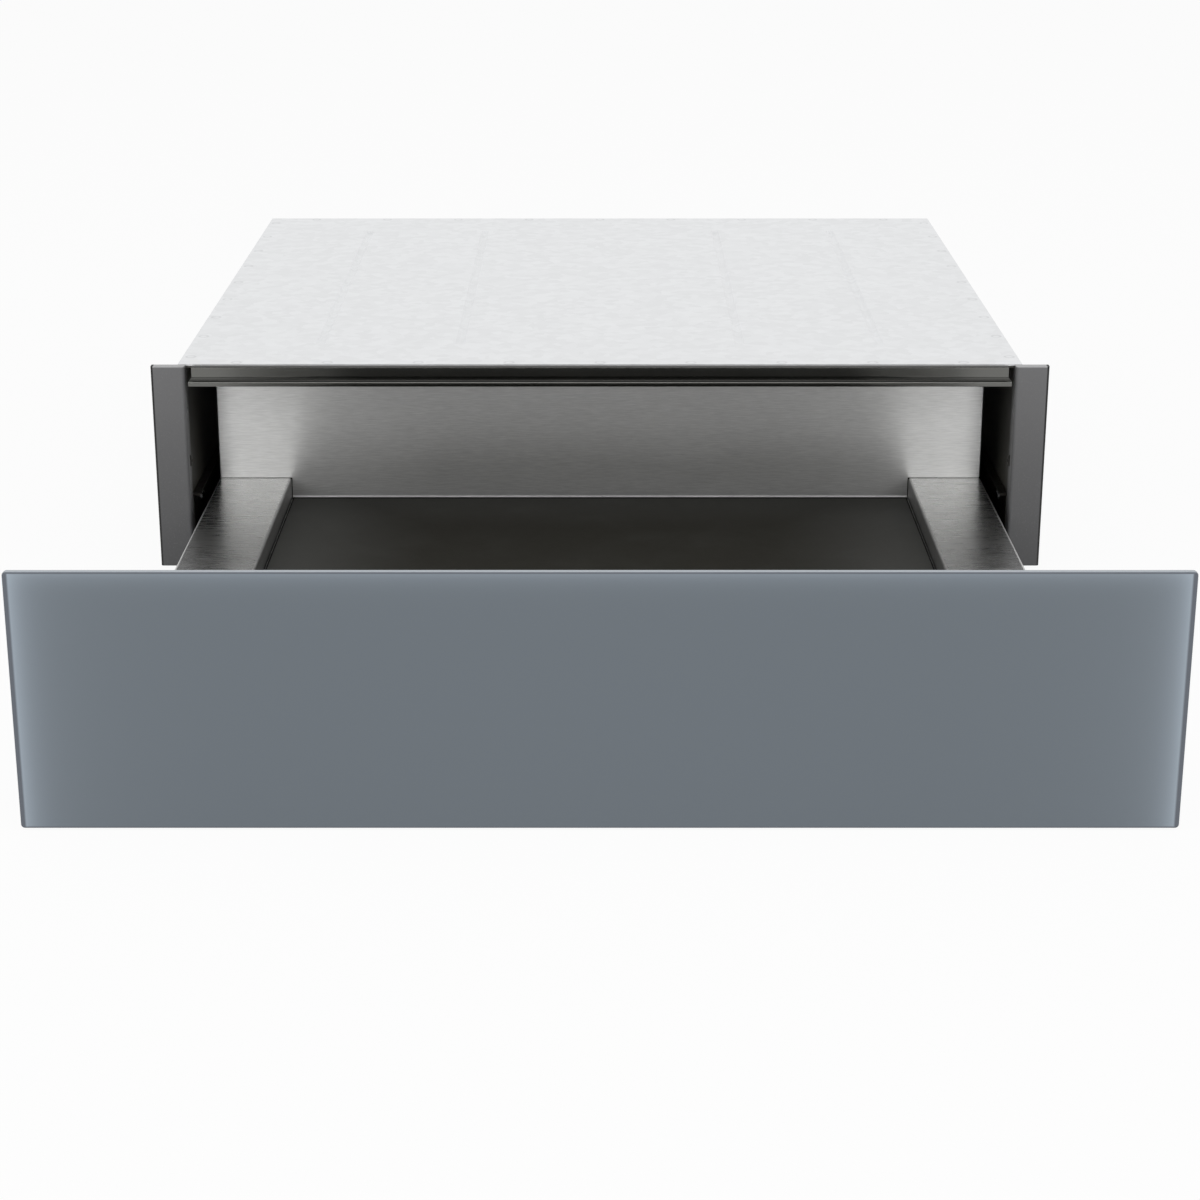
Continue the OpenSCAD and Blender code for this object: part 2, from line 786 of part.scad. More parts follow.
// Folded tray: two raised bands, the sunk floor between them and a tab down at each end
module tray() {
    mid_z = band_z - tray_t / 2;
    mid_floor = floor_z - tray_t / 2;
    edge = tray_x - tray_t / 2;
    step = recess_x + tray_t / 2;
    low = mid_z - hem_h;
    tab_x = recess_x - tab_end_gap;
    color("silver") difference() {
        union() {
            along_y(tray_y, wall_y)
                sheet([[-edge, low], [-edge, mid_z], [-step, mid_z], [-step, mid_floor],
                    [step, mid_floor], [step, mid_z], [edge, mid_z], [edge, low]], tray_t, tray_bend);
            along_y(tray_y, tray_y + tray_t)
                rect([-tab_x, mid_floor - tray_tab], [tab_x, mid_floor]);
            along_y(wall_y - tray_t, wall_y)
                rect([-tab_x, mid_floor - rear_tab], [tab_x, mid_floor]);
        }
        for (x = front_screw_x)
            rod_y(tray_y - overrun, tray_y + tray_t + overrun, x, front_screw_z, fastener_r);
    }
}

// Back wall: flat plate with folded sides, a hemmed top and a foot that lies on the sunk floor
module back_wall() {
    mid = wall_y + tray_t / 2;
    top = wall_top - tray_t / 2;
    low = band_z + play;
    hem_low = top - wall_hem_drop;
    foot_x = recess_x - sheet_gap;
    foot_z = floor_z + tray_t / 2;
    edge = tray_x - tray_t / 2;
    color("silver") {
        along_x(-tray_x + tray_bend, tray_x - tray_bend)
            sheet([[mid + wall_hem, hem_low], [mid + wall_hem, top], [mid, top], [mid, low]], tray_t,
                wall_bend);
        along_z(low, hem_low)
            sheet([[-edge, mid + wall_return], [-edge, mid], [edge, mid], [edge, mid + wall_return]],
                tray_t, wall_bend);
        along_x(-foot_x, foot_x)
            sheet([[mid, low + foot_overlap], [mid, foot_z], [mid - wall_foot, foot_z]], tray_t, tray_t);
    }
}

// Anti-slip mat on the sunk floor
module mat() {
    y0 = tray_y + mat_front_gap;
    y1 = wall_y - mat_rear_gap;
    w = 2 * (recess_x - tray_bend);
    color([0.2, 0.19, 0.17]) translate([0, (y0 + y1) / 2, floor_z])
        linear_extrude(mat_t) difference() {
            round_rect(w, y1 - y0, mat_corner_r);
            translate([0, (y1 - y0) / 2]) square([w + overrun, mat_corner_r], center = true);
        }
}

// Hat-shaped stiffener under the floor, about the plane y
module stiffener(y) {
    mid_z = floor_under - tray_t / 2;
    low = mid_z - hat_depth;
    foot = hat_half + hat_foot;
    color("darkgray") along_x(-recess_x + hat_end_gap, recess_x - hat_end_gap)
        sheet([[y - foot, mid_z], [y - hat_half, mid_z], [y - hat_half, low], [y + hat_half, low],
            [y + hat_half, mid_z], [y + foot, mid_z]], tray_t, tray_t * 1.3);
}

// Angle that hangs from a band's underside and carries the drawer's rail
module rail_angle(s) {
    mid_x = angle_x - angle_t / 2;
    mid_z = band_under - angle_t / 2;
    color("gray") on_side(s) difference() {
        along_y(drawer_rail_front, drawer_rail_rear - angle_end_gap)
            sheet([[recess_x + angle_root, mid_z], [mid_x, mid_z], [mid_x, rail_z - rail_h / 3]], angle_t,
                angle_t);
        for (k = rivet_stations)
            rod_x(mid_x - angle_t, mid_x + angle_t, drawer_rail_front + k * rail_len, rail_z, fastener_r);
    }
}

// Rivets that hold the drawer's rails to their angles
module drawer_rivets() {
    color("silver") for (s = [-1, 1], k = rivet_stations) on_side(s)
        translate([angle_x - angle_t, drawer_rail_front + k * rail_len, rail_z]) rotate([0, -90, 0])
            fastener(angle_t + rail_t);
}

// Striker that presses the catch's plunger when the drawer closes
module striker(s) {
    mid_z = floor_under - striker_t / 2;
    color("silver") on_side(s)
        along_x(catch_x - striker_half_w, catch_x + striker_half_w)
            sheet([[striker_mid_y - striker_foot, mid_z], [striker_mid_y, mid_z],
                [striker_mid_y, striker_low]], striker_t, striker_t);
}

// Steel pan behind the glass, open to the rear, with two upright ribs
module front_carrier() {
    t = panel_t;
    y1 = carrier_y + carrier_d - t;
    rib_x = carrier_x * rib_share;
    color("gray") {
        difference() {
            block([-carrier_x, carrier_y, carrier_z0], [carrier_x, y1, carrier_z1]);
            block([-carrier_x + t, carrier_y + t, carrier_z0 + t],
                [carrier_x - t, y1 + overrun, carrier_z1 - t]);
        }
        for (s = [-1, 1]) on_side(s)
            block([rib_x, carrier_y + t - eps, carrier_z0 + t - eps], [rib_x + t, y1, carrier_z1 - t + eps]);
    }
}

// Inside face of the front, which closes the pan and carries the tray
module inner_front() {
    y = tray_y - panel_t;
    color("silver") difference() {
        along_y(y, tray_y) translate([0, (carrier_z0 + carrier_z1) / 2])
            round_rect(2 * carrier_x, carrier_z1 - carrier_z0, carrier_corner_r);
        for (x = front_screw_x)
            rod_y(y - overrun, tray_y + overrun, x, front_screw_z, fastener_r);
    }
}

// Screws through the tray's front tab into the front
module front_screws() {
    color("silver") for (x = front_screw_x)
        translate([x, tray_y + tray_t, front_screw_z]) rotate([-90, 0, 0])
            fastener(tray_t + panel_t + screw_tip, true);
}

// Frame of double-sided tape between the glass and the pan
module bonding_tape() {
    w = 2 * (carrier_x - tape_inset);
    h = carrier_z1 - carrier_z0 - 2 * tape_inset;
    color("black") along_y(tape_y, carrier_y) translate([0, (carrier_z0 + carrier_z1) / 2]) difference() {
        round_rect(w, h, carrier_corner_r);
        square([w - 2 * tape_w, h - 2 * tape_w], center = true);
    }
}

// Rectangle between a and b with its four corners cut off by c
module cut_corners(a, b, c) {
    polygon([
        [a[0] + c, a[1]], [b[0] - c, a[1]], [b[0], a[1] + c], [b[0], b[1] - c],
        [b[0] - c, b[1]], [a[0] + c, b[1]], [a[0], b[1] - c], [a[0], a[1] + c]
    ]);
}

// Satin glass with round corners and an arris along every edge
module glass_front() {
    w = front_w / 2;
    color([0.44, 0.48, 0.52]) intersection() {
        along_y(glass_y, tape_y) translate([0, glass_mid_z]) round_rect(front_w, front_h, glass_corner_r);
        along_x(-w, w) cut_corners([glass_y, glass_z], [tape_y, glass_z + front_h], arris);
        along_z(glass_z, glass_z + front_h) cut_corners([-w, glass_y], [w, tape_y], arris);
    }
}

// Rubber domes on the front's inside that meet the posts when the drawer closes
module front_buffers() {
    h = front_gap - play;
    r = buffer_r;
    color("black") for (s = [-1, 1], z = [carrier_z0 + buffer_inset_z, carrier_z1 - buffer_inset_z])
        translate([s * (carrier_x - buffer_inset_x), tray_y, z]) rotate([-90, 0, 0])
            rotate_extrude($fn = ROUND) polygon([
                [0, 0], [r, 0], [r, h * 0.4], [r * 0.9, h * 0.75], [r * 0.6, h], [0, h]
            ]);
}

base_panel();
top_panel();
side_panel(LEFT);  // side_panel_left
side_panel(RIGHT);  // side_panel_right
rear_panel();
post(LEFT);  // post_left
post(RIGHT);  // post_right
top_rail();
runner_bracket(LEFT);  // runner_bracket_left
runner_bracket(RIGHT);  // runner_bracket_right
fixed_rail(LEFT);  // fixed_rail_left
fixed_rail(RIGHT);  // fixed_rail_right
rail_buffers();
bracket_rivets();
housing_screws();
catch_body(LEFT);  // catch_body_left
catch_body(RIGHT);  // catch_body_right
catch_screws();
catch_plunger(LEFT);  // catch_plunger_left
catch_plunger(RIGHT);  // catch_plunger_right
middle_rail(LEFT);  // middle_rail_left
middle_rail(RIGHT);  // middle_rail_right
outer_cage(LEFT);  // outer_cage_left
outer_cage(RIGHT);  // outer_cage_right
outer_balls(LEFT);  // outer_balls_left
outer_balls(RIGHT);  // outer_balls_right
inner_cage(LEFT);  // inner_cage_left
inner_cage(RIGHT);  // inner_cage_right
inner_balls(LEFT);  // inner_balls_left
inner_balls(RIGHT);  // inner_balls_right
drawer_rail(LEFT);  // drawer_rail_left
drawer_rail(RIGHT);  // drawer_rail_right
rail_angle(LEFT);  // rail_angle_left
rail_angle(RIGHT);  // rail_angle_right
drawer_rivets();
tray();
back_wall();
mat();
stiffener(tray_y + tray_d * stiffener_stations[0]);  // floor_stiffener_front
stiffener(tray_y + tray_d * stiffener_stations[1]);  // floor_stiffener_rear
striker(LEFT);  // striker_left
striker(RIGHT);  // striker_right
inner_front();
front_carrier();
bonding_tape();
glass_front();
front_buffers();
front_screws();
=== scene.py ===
"""Built-in storage drawer: finishes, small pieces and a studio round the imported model."""

import math

import bpy
import numpy as np
from bpy.props import FloatProperty, FloatVectorProperty, IntProperty, PointerProperty
from bpy.types import Operator, Panel, PropertyGroup
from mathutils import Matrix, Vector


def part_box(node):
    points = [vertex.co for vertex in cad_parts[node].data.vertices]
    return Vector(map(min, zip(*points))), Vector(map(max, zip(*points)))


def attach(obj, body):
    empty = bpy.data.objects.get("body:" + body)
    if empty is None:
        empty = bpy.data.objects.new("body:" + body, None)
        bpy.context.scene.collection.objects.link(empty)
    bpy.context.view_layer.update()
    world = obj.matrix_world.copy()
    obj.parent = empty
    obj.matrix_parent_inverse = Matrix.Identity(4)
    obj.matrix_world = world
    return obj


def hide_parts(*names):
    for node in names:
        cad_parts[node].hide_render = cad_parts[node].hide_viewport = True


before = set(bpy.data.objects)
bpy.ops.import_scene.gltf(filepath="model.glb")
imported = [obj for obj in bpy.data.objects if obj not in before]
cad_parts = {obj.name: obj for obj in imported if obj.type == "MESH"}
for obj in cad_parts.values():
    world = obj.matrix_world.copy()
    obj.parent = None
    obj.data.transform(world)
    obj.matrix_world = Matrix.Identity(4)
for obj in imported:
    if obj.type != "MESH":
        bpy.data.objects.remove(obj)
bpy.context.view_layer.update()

bl_info = {
    "name": "Storage drawer",
    "version": (1, 0, 0),
    "blender": (4, 5, 0),
    "location": "View3D > Sidebar > Drawer",
    "description": "Dresses a built-in storage drawer and lights it in a plain studio",
    "category": "Object",
}

MM = 0.001
WELD_INSET = 5.5 * MM

# The span of the brush grain's shade, then the streaks' length, width and contrast
SHADE_SPAN = (0.35, 0.65)
WALL_STREAK = (0.009, 0.0007, 0.12)
TRAY_STREAK = (0.02, 0.0024, 0.2)


def srgb(red, green, blue):
    """Linear colour, with alpha, of three display values from 0 to 255."""
    v = np.array([red, green, blue]) / 255.0
    linear = np.where(v <= 0.04045, v / 12.92, ((v + 0.055) / 1.055) ** 2.4)
    return (*(float(c) for c in linear), 1.0)


def paler(colour, share, lift=0.0):
    """Colour times share and raised by lift, held to one."""
    return (*(min(1.0, c * share + lift) for c in colour[:3]), 1.0)


def half_size(box):
    """Half the width, depth and height of a box."""
    return ((np.array(box[1]) - np.array(box[0])) / 2).tolist()


# Node trees


def add_node(tree, kind, values=None, **settings):
    """Adds a shader node. Each entry of values sets an input, or joins it to another node's output."""
    made = tree.nodes.new("ShaderNode" + kind)
    for name, value in settings.items():
        setattr(made, name, value)
    for key, value in (values or {}).items():
        if isinstance(value, bpy.types.NodeSocket):
            tree.links.new(value, made.inputs[key])
        else:
            made.inputs[key].default_value = value
    return made


def calc(tree, operation, a, b=0.0, c=0.0, clamp=False):
    """Output of a Math node."""
    return add_node(tree, "Math", {0: a, 1: b, 2: c}, operation=operation, use_clamp=clamp).outputs[0]


def times(tree, a, b, clamp=False):
    """Product of two values."""
    return calc(tree, "MULTIPLY", a, b, clamp=clamp)


def mix(tree, factor, a, b, blend_type="MIX"):
    """Output of a colour Mix node, from a at 0 to b at 1."""
    values = {0: factor, 6: a, 7: b}
    return add_node(tree, "Mix", values, data_type="RGBA", blend_type=blend_type).outputs[2]


def remap(tree, value, from_low, from_high, to_low=0.0, to_high=1.0, smooth=False):
    """Value carried from one range to another and clamped there."""
    values = {0: value, 1: from_low, 2: from_high, 3: to_low, 4: to_high}
    kind = "SMOOTHSTEP" if smooth else "LINEAR"
    return add_node(tree, "MapRange", values, interpolation_type=kind).outputs[0]


def split(tree, vector):
    """X, Y and Z of a vector."""
    return add_node(tree, "SeparateXYZ", {0: vector}).outputs


def centred(tree, vector, box):
    """Vector counted from the middle of a box."""
    middle = (np.array(box[0]) + np.array(box[1])) / 2
    return add_node(tree, "Mapping", {"Vector": vector, "Location": (-middle).tolist()}).outputs[0]


def quarter_turn(tree, vector):
    """Vector turned by 90 degrees about Z."""
    return add_node(tree, "Mapping", {"Vector": vector, "Rotation": (0.0, 0.0, math.pi / 2)}).outputs[0]


def shaded(tree, colour, shade):
    """Colour multiplied by a grey."""
    grey = add_node(tree, "CombineColor", {0: shade, 1: shade, 2: shade}).outputs[0]
    return mix(tree, 1.0, colour, grey, "MULTIPLY")


def noise(tree, vector, scale, detail=2.0, roughness=0.5):
    """Grey value of a noise texture."""
    values = {"Vector": vector, "Scale": scale, "Detail": detail, "Roughness": roughness}
    return add_node(tree, "TexNoise", values).outputs[0]


def new_group(name, inputs, outputs):
    """Empty shader node group with sockets (name, kind, default) in and (name, kind) out."""
    tree = bpy.data.node_groups.new(name, "ShaderNodeTree")
    for label, kind, default in inputs:
        socket = tree.interface.new_socket(label, in_out="INPUT", socket_type="NodeSocket" + kind)
        if default is not None:
            socket.default_value = default
    for label, kind in outputs:
        tree.interface.new_socket(label, in_out="OUTPUT", socket_type="NodeSocket" + kind)
    return tree, tree.nodes.new("NodeGroupInput").outputs, tree.nodes.new("NodeGroupOutput").inputs


def placed(tree, name, values):
    """Outputs of the node group called name, placed in a material with its own values."""
    return add_node(tree, "Group", values, node_tree=bpy.data.node_groups[name]).outputs


def handling(tree, coords, size, cover=0.5):
    """Mask of the handling marks."""
    return placed(tree, "Handling marks", {"Vector": coords, "Size": size, "Cover": cover})["Mask"]


def coat_peel(tree, coords, grain):
    """Outputs of the peel of a coat."""
    return placed(tree, "Coat peel", {"Vector": coords, "Grain": grain})


def make_brush_group():
    """Brush grain along X: a fine noise stretched by length over width, and a shade of broader streaks."""
    tree, given, out = new_group(
        "Brush grain",
        [("Vector", "Vector", None), ("Grain length", "Float", 0.009), ("Grain width", "Float", 0.0003),
         ("Streak length", "Float", 0.03), ("Streak width", "Float", 0.0022)],
        [("Height", "Float"), ("Shade", "Float")],
    )

    def stretched(length, width, detail, roughness):
        along = calc(tree, "DIVIDE", 1.0, length)
        across = calc(tree, "DIVIDE", 1.0, width)
        scale = add_node(tree, "CombineXYZ", {0: along, 1: across, 2: across}).outputs[0]
        grain = add_node(tree, "VectorMath", {0: given["Vector"], 1: scale}, operation="MULTIPLY").outputs[0]
        return noise(tree, grain, 1.0, detail, roughness)

    fine = stretched(given["Grain length"], given["Grain width"], 3.0, 0.65)
    streak = stretched(given["Streak length"], given["Streak width"], 5.0, 0.62)
    tree.links.new(fine, out["Height"])
    tree.links.new(calc(tree, "MULTIPLY_ADD", fine, 0.4, times(tree, streak, 0.6)), out["Shade"])


def make_peel_group():
    """Peel of a sprayed or powder coat, from noises at Grain and at six times that, and its sparse specks."""
    tree, given, out = new_group(
        "Coat peel",
        [("Vector", "Vector", None), ("Grain", "Float", 0.0012)],
        [("Height", "Float"), ("Speck", "Float")],
    )
    scale = calc(tree, "DIVIDE", 1.0, given["Grain"])
    fine = noise(tree, given["Vector"], scale, 1.0)
    soft = noise(tree, given["Vector"], calc(tree, "DIVIDE", scale, 6.0), 1.0)
    tree.links.new(calc(tree, "MULTIPLY_ADD", fine, 0.6, times(tree, soft, 0.4)), out["Height"])
    speck = noise(tree, given["Vector"], times(tree, scale, 1.7))
    tree.links.new(remap(tree, speck, 0.62, 0.75), out["Speck"])


def make_handling_group():
    """Soft smudges and wiping marks: a warped noise at Size, cut so that most of the surface stays clean."""
    tree, given, out = new_group(
        "Handling marks",
        [("Vector", "Vector", None), ("Size", "Float", 0.08), ("Cover", "Float", 0.5)],
        [("Mask", "Float")],
    )
    scale = calc(tree, "DIVIDE", 1.0, given["Size"])
    warp = add_node(tree, "TexNoise", {"Vector": given["Vector"], "Scale": scale}).outputs[1]
    shift = add_node(tree, "VectorMath", {0: warp, 3: times(tree, given["Size"], 0.5)},
                     operation="SCALE").outputs[0]
    moved = add_node(tree, "VectorMath", {0: given["Vector"], 1: shift}, operation="ADD").outputs[0]
    marks = noise(tree, moved, scale, 4.0)
    low = calc(tree, "SUBTRACT", 0.7, times(tree, given["Cover"], 0.4))
    high = calc(tree, "ADD", low, 0.35)
    tree.links.new(remap(tree, marks, low, high, smooth=True), out["Mask"])


def make_spangle_group():
    """Zinc spangle: flat crystals from Voronoi cells at Crystal size, each with its own grey."""
    tree, given, out = new_group(
        "Zinc spangle",
        [("Vector", "Vector", None), ("Crystal size", "Float", 0.006)],
        [("Shade", "Float"), ("Height", "Float")],
    )
    scale = calc(tree, "DIVIDE", 1.0, given["Crystal size"])
    cells = add_node(tree, "TexVoronoi", {"Vector": given["Vector"], "Scale": scale}, feature="F1")
    shade = add_node(tree, "SeparateColor", {0: cells.outputs["Color"]}).outputs[0]
    grain = noise(tree, given["Vector"], times(tree, scale, 5.0), 3.0)
    tree.links.new(calc(tree, "MULTIPLY_ADD", grain, 0.3, times(tree, shade, 0.7)), out["Shade"])
    tree.links.new(grain, out["Height"])


def make_pane_edge_group():
    """Masks of the glass by distance from its edges, about its middle.

    Side glow and Side haze are a steep and a shallow exponential of the distance to the nearer side edge,
    and Top glow is one of the distance to the top edge; they place a painted glow of light. Arris is a dark
    line of painted shade inside each edge, wider at the sides than above and below.
    """
    tree, given, out = new_group(
        "Pane edge",
        [("Vector", "Vector", None), ("Half width", "Float", 0.3), ("Half height", "Float", 0.07),
         ("Steep", "Float", 0.006), ("Shallow", "Float", 0.03), ("Top", "Float", 0.004),
         ("Side line", "Float", 0.0019), ("Top line", "Float", 0.0007)],
        [("Side glow", "Float"), ("Side haze", "Float"), ("Top glow", "Float"), ("Arris", "Float")],
    )
    x, _, z = split(tree, given["Vector"])
    side = calc(tree, "SUBTRACT", given["Half width"], calc(tree, "ABSOLUTE", x))
    top = calc(tree, "SUBTRACT", given["Half height"], z)
    low = calc(tree, "SUBTRACT", given["Half height"], calc(tree, "ABSOLUTE", z))

    def falloff(distance, length):
        ratio = calc(tree, "DIVIDE", distance, length)
        return calc(tree, "EXPONENT", times(tree, ratio, -1.0), clamp=True)

    tree.links.new(falloff(side, given["Steep"]), out["Side glow"])
    tree.links.new(falloff(side, given["Shallow"]), out["Side haze"])
    tree.links.new(falloff(top, given["Top"]), out["Top glow"])

    def line(distance, width):
        return remap(tree, distance, width, times(tree, width, 1.7), 1.0, 0.0, smooth=True)

    lines = calc(tree, "MAXIMUM", line(side, given["Side line"]), line(low, given["Top line"]))
    tree.links.new(lines, out["Arris"])


def make_post_edge_group():
    """Masks of a folded post for painted shade and a painted highlight: Bend at its outer side, Cap at its
    top edge, and Low, which grows downwards.
    """
    tree, given, out = new_group(
        "Post edge",
        [("Vector", "Vector", None), ("Outer side", "Float", 0.295), ("Top", "Float", 0.14),
         ("Bend width", "Float", 0.0012), ("Cap height", "Float", 0.0005)],
        [("Bend", "Float"), ("Cap", "Float"), ("Low", "Float")],
    )
    x, _, z = split(tree, given["Vector"])
    side = calc(tree, "SUBTRACT", given["Outer side"], calc(tree, "ABSOLUTE", x))
    top = calc(tree, "SUBTRACT", given["Top"], z)
    wide = times(tree, given["Bend width"], 1.6)
    tree.links.new(remap(tree, side, given["Bend width"], wide, 1.0, 0.0, smooth=True), out["Bend"])
    deep = times(tree, given["Cap height"], 1.3)
    tree.links.new(remap(tree, top, given["Cap height"], deep, 1.0, 0.0, smooth=True), out["Cap"])
    tree.links.new(calc(tree, "DIVIDE", top, given["Top"], clamp=True), out["Low"])


def make_rail_lines_group():
    """Masks of the roll-formed rail by height under its top: Crest, its top bend, Groove, and Lip."""
    tree, given, out = new_group(
        "Rail lines",
        [("Vector", "Vector", None), ("Top", "Float", 0.14), ("Crest height", "Float", 0.0008),
         ("Groove from", "Float", 0.0072), ("Lip from", "Float", 0.0101), ("Lip to", "Float", 0.0114)],
        [("Crest", "Float"), ("Groove", "Float"), ("Lip", "Float")],
    )
    z = split(tree, given["Vector"])[2]
    down = calc(tree, "SUBTRACT", given["Top"], z)
    tree.links.new(calc(tree, "LESS_THAN", down, given["Crest height"]), out["Crest"])
    for line, start, end in (("Groove", "Groove from", "Lip from"), ("Lip", "Lip from", "Lip to")):
        below = calc(tree, "GREATER_THAN", down, given[start])
        above = calc(tree, "LESS_THAN", down, given[end])
        tree.links.new(times(tree, below, above), out[line])


def make_weld_group():
    """Two rows of spot welds along Y, at -Row and at Row on X.

    A point's distance to its spot is the root of the squares of |x| - Row and of its distance along Y to
    the nearest multiple of Spacing. Dimple falls from one to nought at Radius, and Halo is a ring outside it.
    """
    tree, given, out = new_group(
        "Spot welds",
        [("Vector", "Vector", None), ("Row", "Float", 0.27), ("Spacing", "Float", 0.06),
         ("Radius", "Float", 0.0025)],
        [("Dimple", "Float"), ("Halo", "Float")],
    )
    x, y, _ = split(tree, given["Vector"])
    across = calc(tree, "SUBTRACT", calc(tree, "ABSOLUTE", x), given["Row"])
    along = calc(tree, "PINGPONG", y, times(tree, given["Spacing"], 0.5))
    both = add_node(tree, "CombineXYZ", {0: across, 1: along}).outputs[0]
    distance = add_node(tree, "VectorMath", {0: both}, operation="LENGTH").outputs[1]
    inner = times(tree, given["Radius"], 0.55)
    tree.links.new(remap(tree, distance, inner, given["Radius"], 1.0, 0.0, smooth=True), out["Dimple"])
    rim = times(tree, given["Radius"], 1.2)
    off_rim = calc(tree, "ABSOLUTE", calc(tree, "SUBTRACT", distance, rim))
    tree.links.new(remap(tree, off_rim, 0.0, inner, 1.0, 0.0, smooth=True), out["Halo"])


GROUP_MAKERS = (
    make_brush_group,
    make_peel_group,
    make_handling_group,
    make_spangle_group,
    make_pane_edge_group,
    make_post_edge_group,
    make_rail_lines_group,
    make_weld_group,
)


# Finishes


def start_finish(name, **constants):
    """New material: its tree, its Principled shader with the constants set, and the Object coordinates."""
    material = bpy.data.materials.new(name)
    material.use_nodes = True
    tree = material.node_tree
    shader = tree.nodes["Principled BSDF"]
    for key, value in constants.items():
        shader.inputs[key.replace("_", " ")].default_value = value
    coords = add_node(tree, "TexCoord").outputs["Object"]
    return material, tree, shader, coords


def wire(tree, shader, key, value):
    """Joins a changing value to one of the shader's inputs."""
    tree.links.new(value, shader.inputs[key])


def bump(tree, shader, height, distance):
    """Bump of the given depth in metres on the shader's normal."""
    wire(tree, shader, "Normal", add_node(tree, "Bump", {"Height": height, "Distance": distance}).outputs[0])


def satin_glass(look, box):
    """Satin glass, painted grey behind, with a painted glow of light along the sides and the top, painted
    shade on the arris, and polished edges with a painted highlight on the top one.
    """
    material, tree, shader, coords = start_finish("satin_glass", Metallic=0.0, IOR=1.5)
    half = half_size(box)
    edge = placed(tree, "Pane edge",
                  {"Vector": centred(tree, coords, box), "Half width": half[0], "Half height": half[2]})
    # Painted glow of light: the colour pales towards the side edges and the top edge
    base = mix(tree, times(tree, edge["Side haze"], look.haze), look.colour, look.glow)
    for glow, strength in (("Side glow", look.side_glow), ("Top glow", look.top_glow)):
        base = mix(tree, times(tree, edge[glow], strength, clamp=True), base, look.glow)
    # Painted shade: a darker line along the rounded arris
    base = mix(tree, edge["Arris"], base, look.arris)
    # Painted highlight: faces turned up, such as the polished top edge, get a paler colour; their roughness
    # is also lower
    up = split(tree, add_node(tree, "NewGeometry").outputs["Normal"])[2]
    polished = remap(tree, up, 0.75, 0.95, smooth=True)
    wire(tree, shader, "Base Color", mix(tree, polished, base, look.polished))
    rough = calc(tree, "MULTIPLY_ADD", handling(tree, coords, 0.12, 0.35), -0.03, look.roughness)
    wire(tree, shader, "Roughness", times(tree, rough, remap(tree, polished, 0.0, 1.0, 1.0, 0.6)))
    bump(tree, shader, coat_peel(tree, coords, 0.00035)["Height"], 0.000008)
    return material


def brushed_steel(name, look, colour, roughness, spread, streak, ramps=()):
    """Brushed stainless steel whose grain runs along X, so that it spreads reflections across that.

    streak is the length, the width and the contrast of its streaks. On faces turned to the sides the
    grain follows the fold along Z, they are rougher, and painted shade makes them darker. Each ramp is an
    axis, from 0 to 2, two places on it, and the shares of the colour before the first and past the second;
    the ramps paint light and shade.
    """
    material, tree, shader, coords = start_finish(name, Metallic=1.0, Anisotropic=spread)
    facing = add_node(tree, "NewGeometry").outputs["Normal"]
    across = add_node(tree, "VectorMath", {0: facing, 1: (1.0, 0.02, 0.0)}, operation="CROSS_PRODUCT")
    wire(tree, shader, "Tangent", across.outputs[0])
    sideways = calc(tree, "ABSOLUTE", split(tree, facing)[0])
    place = split(tree, coords)
    folded = add_node(tree, "CombineXYZ", {0: place[2], 1: place[1], 2: place[0]}).outputs[0]
    grown = add_node(tree, "Mix", {0: calc(tree, "GREATER_THAN", sideways, 0.7), 4: coords, 5: folded},
                     data_type="VECTOR").outputs[1]
    length, width, contrast = streak
    grain = placed(tree, "Brush grain", {"Vector": grown, "Streak length": length, "Streak width": width})
    shade = remap(tree, grain["Shade"], *SHADE_SPAN, 1.0 - contrast, 1.0 + contrast)
    # Painted shade on faces turned to the sides
    shade = times(tree, shade, remap(tree, sideways, 0.5, 0.9, 1.0, look.side_face_shade))
    # Ramps of painted light and shade
    for axis, *ramp in ramps:
        shade = times(tree, shade, remap(tree, place[axis], *ramp, smooth=True))
    wire(tree, shader, "Base Color", shaded(tree, colour, shade))
    rough = calc(tree, "MULTIPLY_ADD", grain["Shade"], 0.1, roughness - 0.05)
    rough = calc(tree, "MULTIPLY_ADD", sideways, look.folded_roughness, rough)
    wire(tree, shader, "Roughness", calc(tree, "MULTIPLY_ADD", handling(tree, coords, 0.1), 0.04, rough))
    bump(tree, shader, grain["Height"], 0.00003)
    return material


def coated(name, colour, roughness):
    """Powder-coated steel with a fine peel, specks and soft handling marks."""
    material, tree, shader, coords = start_finish(name, Metallic=0.0)
    peel = coat_peel(tree, coords, 0.0012)
    pale = paler(colour, 1.5, 0.01)
    flecked = mix(tree, times(tree, peel["Speck"], 0.25), colour, pale)
    marks = handling(tree, coords, 0.07)
    wire(tree, shader, "Base Color", mix(tree, times(tree, marks, 0.12), flecked, pale))
    wire(tree, shader, "Roughness", calc(tree, "MULTIPLY_ADD", marks, 0.06, roughness))
    bump(tree, shader, peel["Height"], 0.00002)
    return material


def post_paint(look, outer, top):
    """Satin paint of the posts: painted shade makes it dark at the outer bend and darker lower down, a
    painted highlight makes the top edge pale, and the bend is dull.
    """
    material, tree, shader, coords = start_finish("post_paint", Metallic=0.0)
    edge = placed(tree, "Post edge", {"Vector": coords, "Outer side": outer, "Top": top})
    peel = coat_peel(tree, coords, 0.0009)
    # Painted shade that grows lower down
    base = mix(tree, edge["Low"], look.post, look.post_low_shade)
    # Coat specks, in the colour of the painted highlight
    base = mix(tree, times(tree, peel["Speck"], 0.25), base, look.post_cap_highlight_and_speck)
    # Painted highlight on the top edge
    base = mix(tree, edge["Cap"], base, look.post_cap_highlight_and_speck)
    # Painted shade at the outer bend
    wire(tree, shader, "Base Color", mix(tree, edge["Bend"], base, look.post_bend_shade))
    rough = calc(tree, "MULTIPLY_ADD", handling(tree, coords, 0.05), 0.06, 0.45)
    wire(tree, shader, "Roughness", calc(tree, "MULTIPLY_ADD", edge["Bend"], 0.3, rough))
    bump(tree, shader, peel["Height"], 0.00002)
    return material


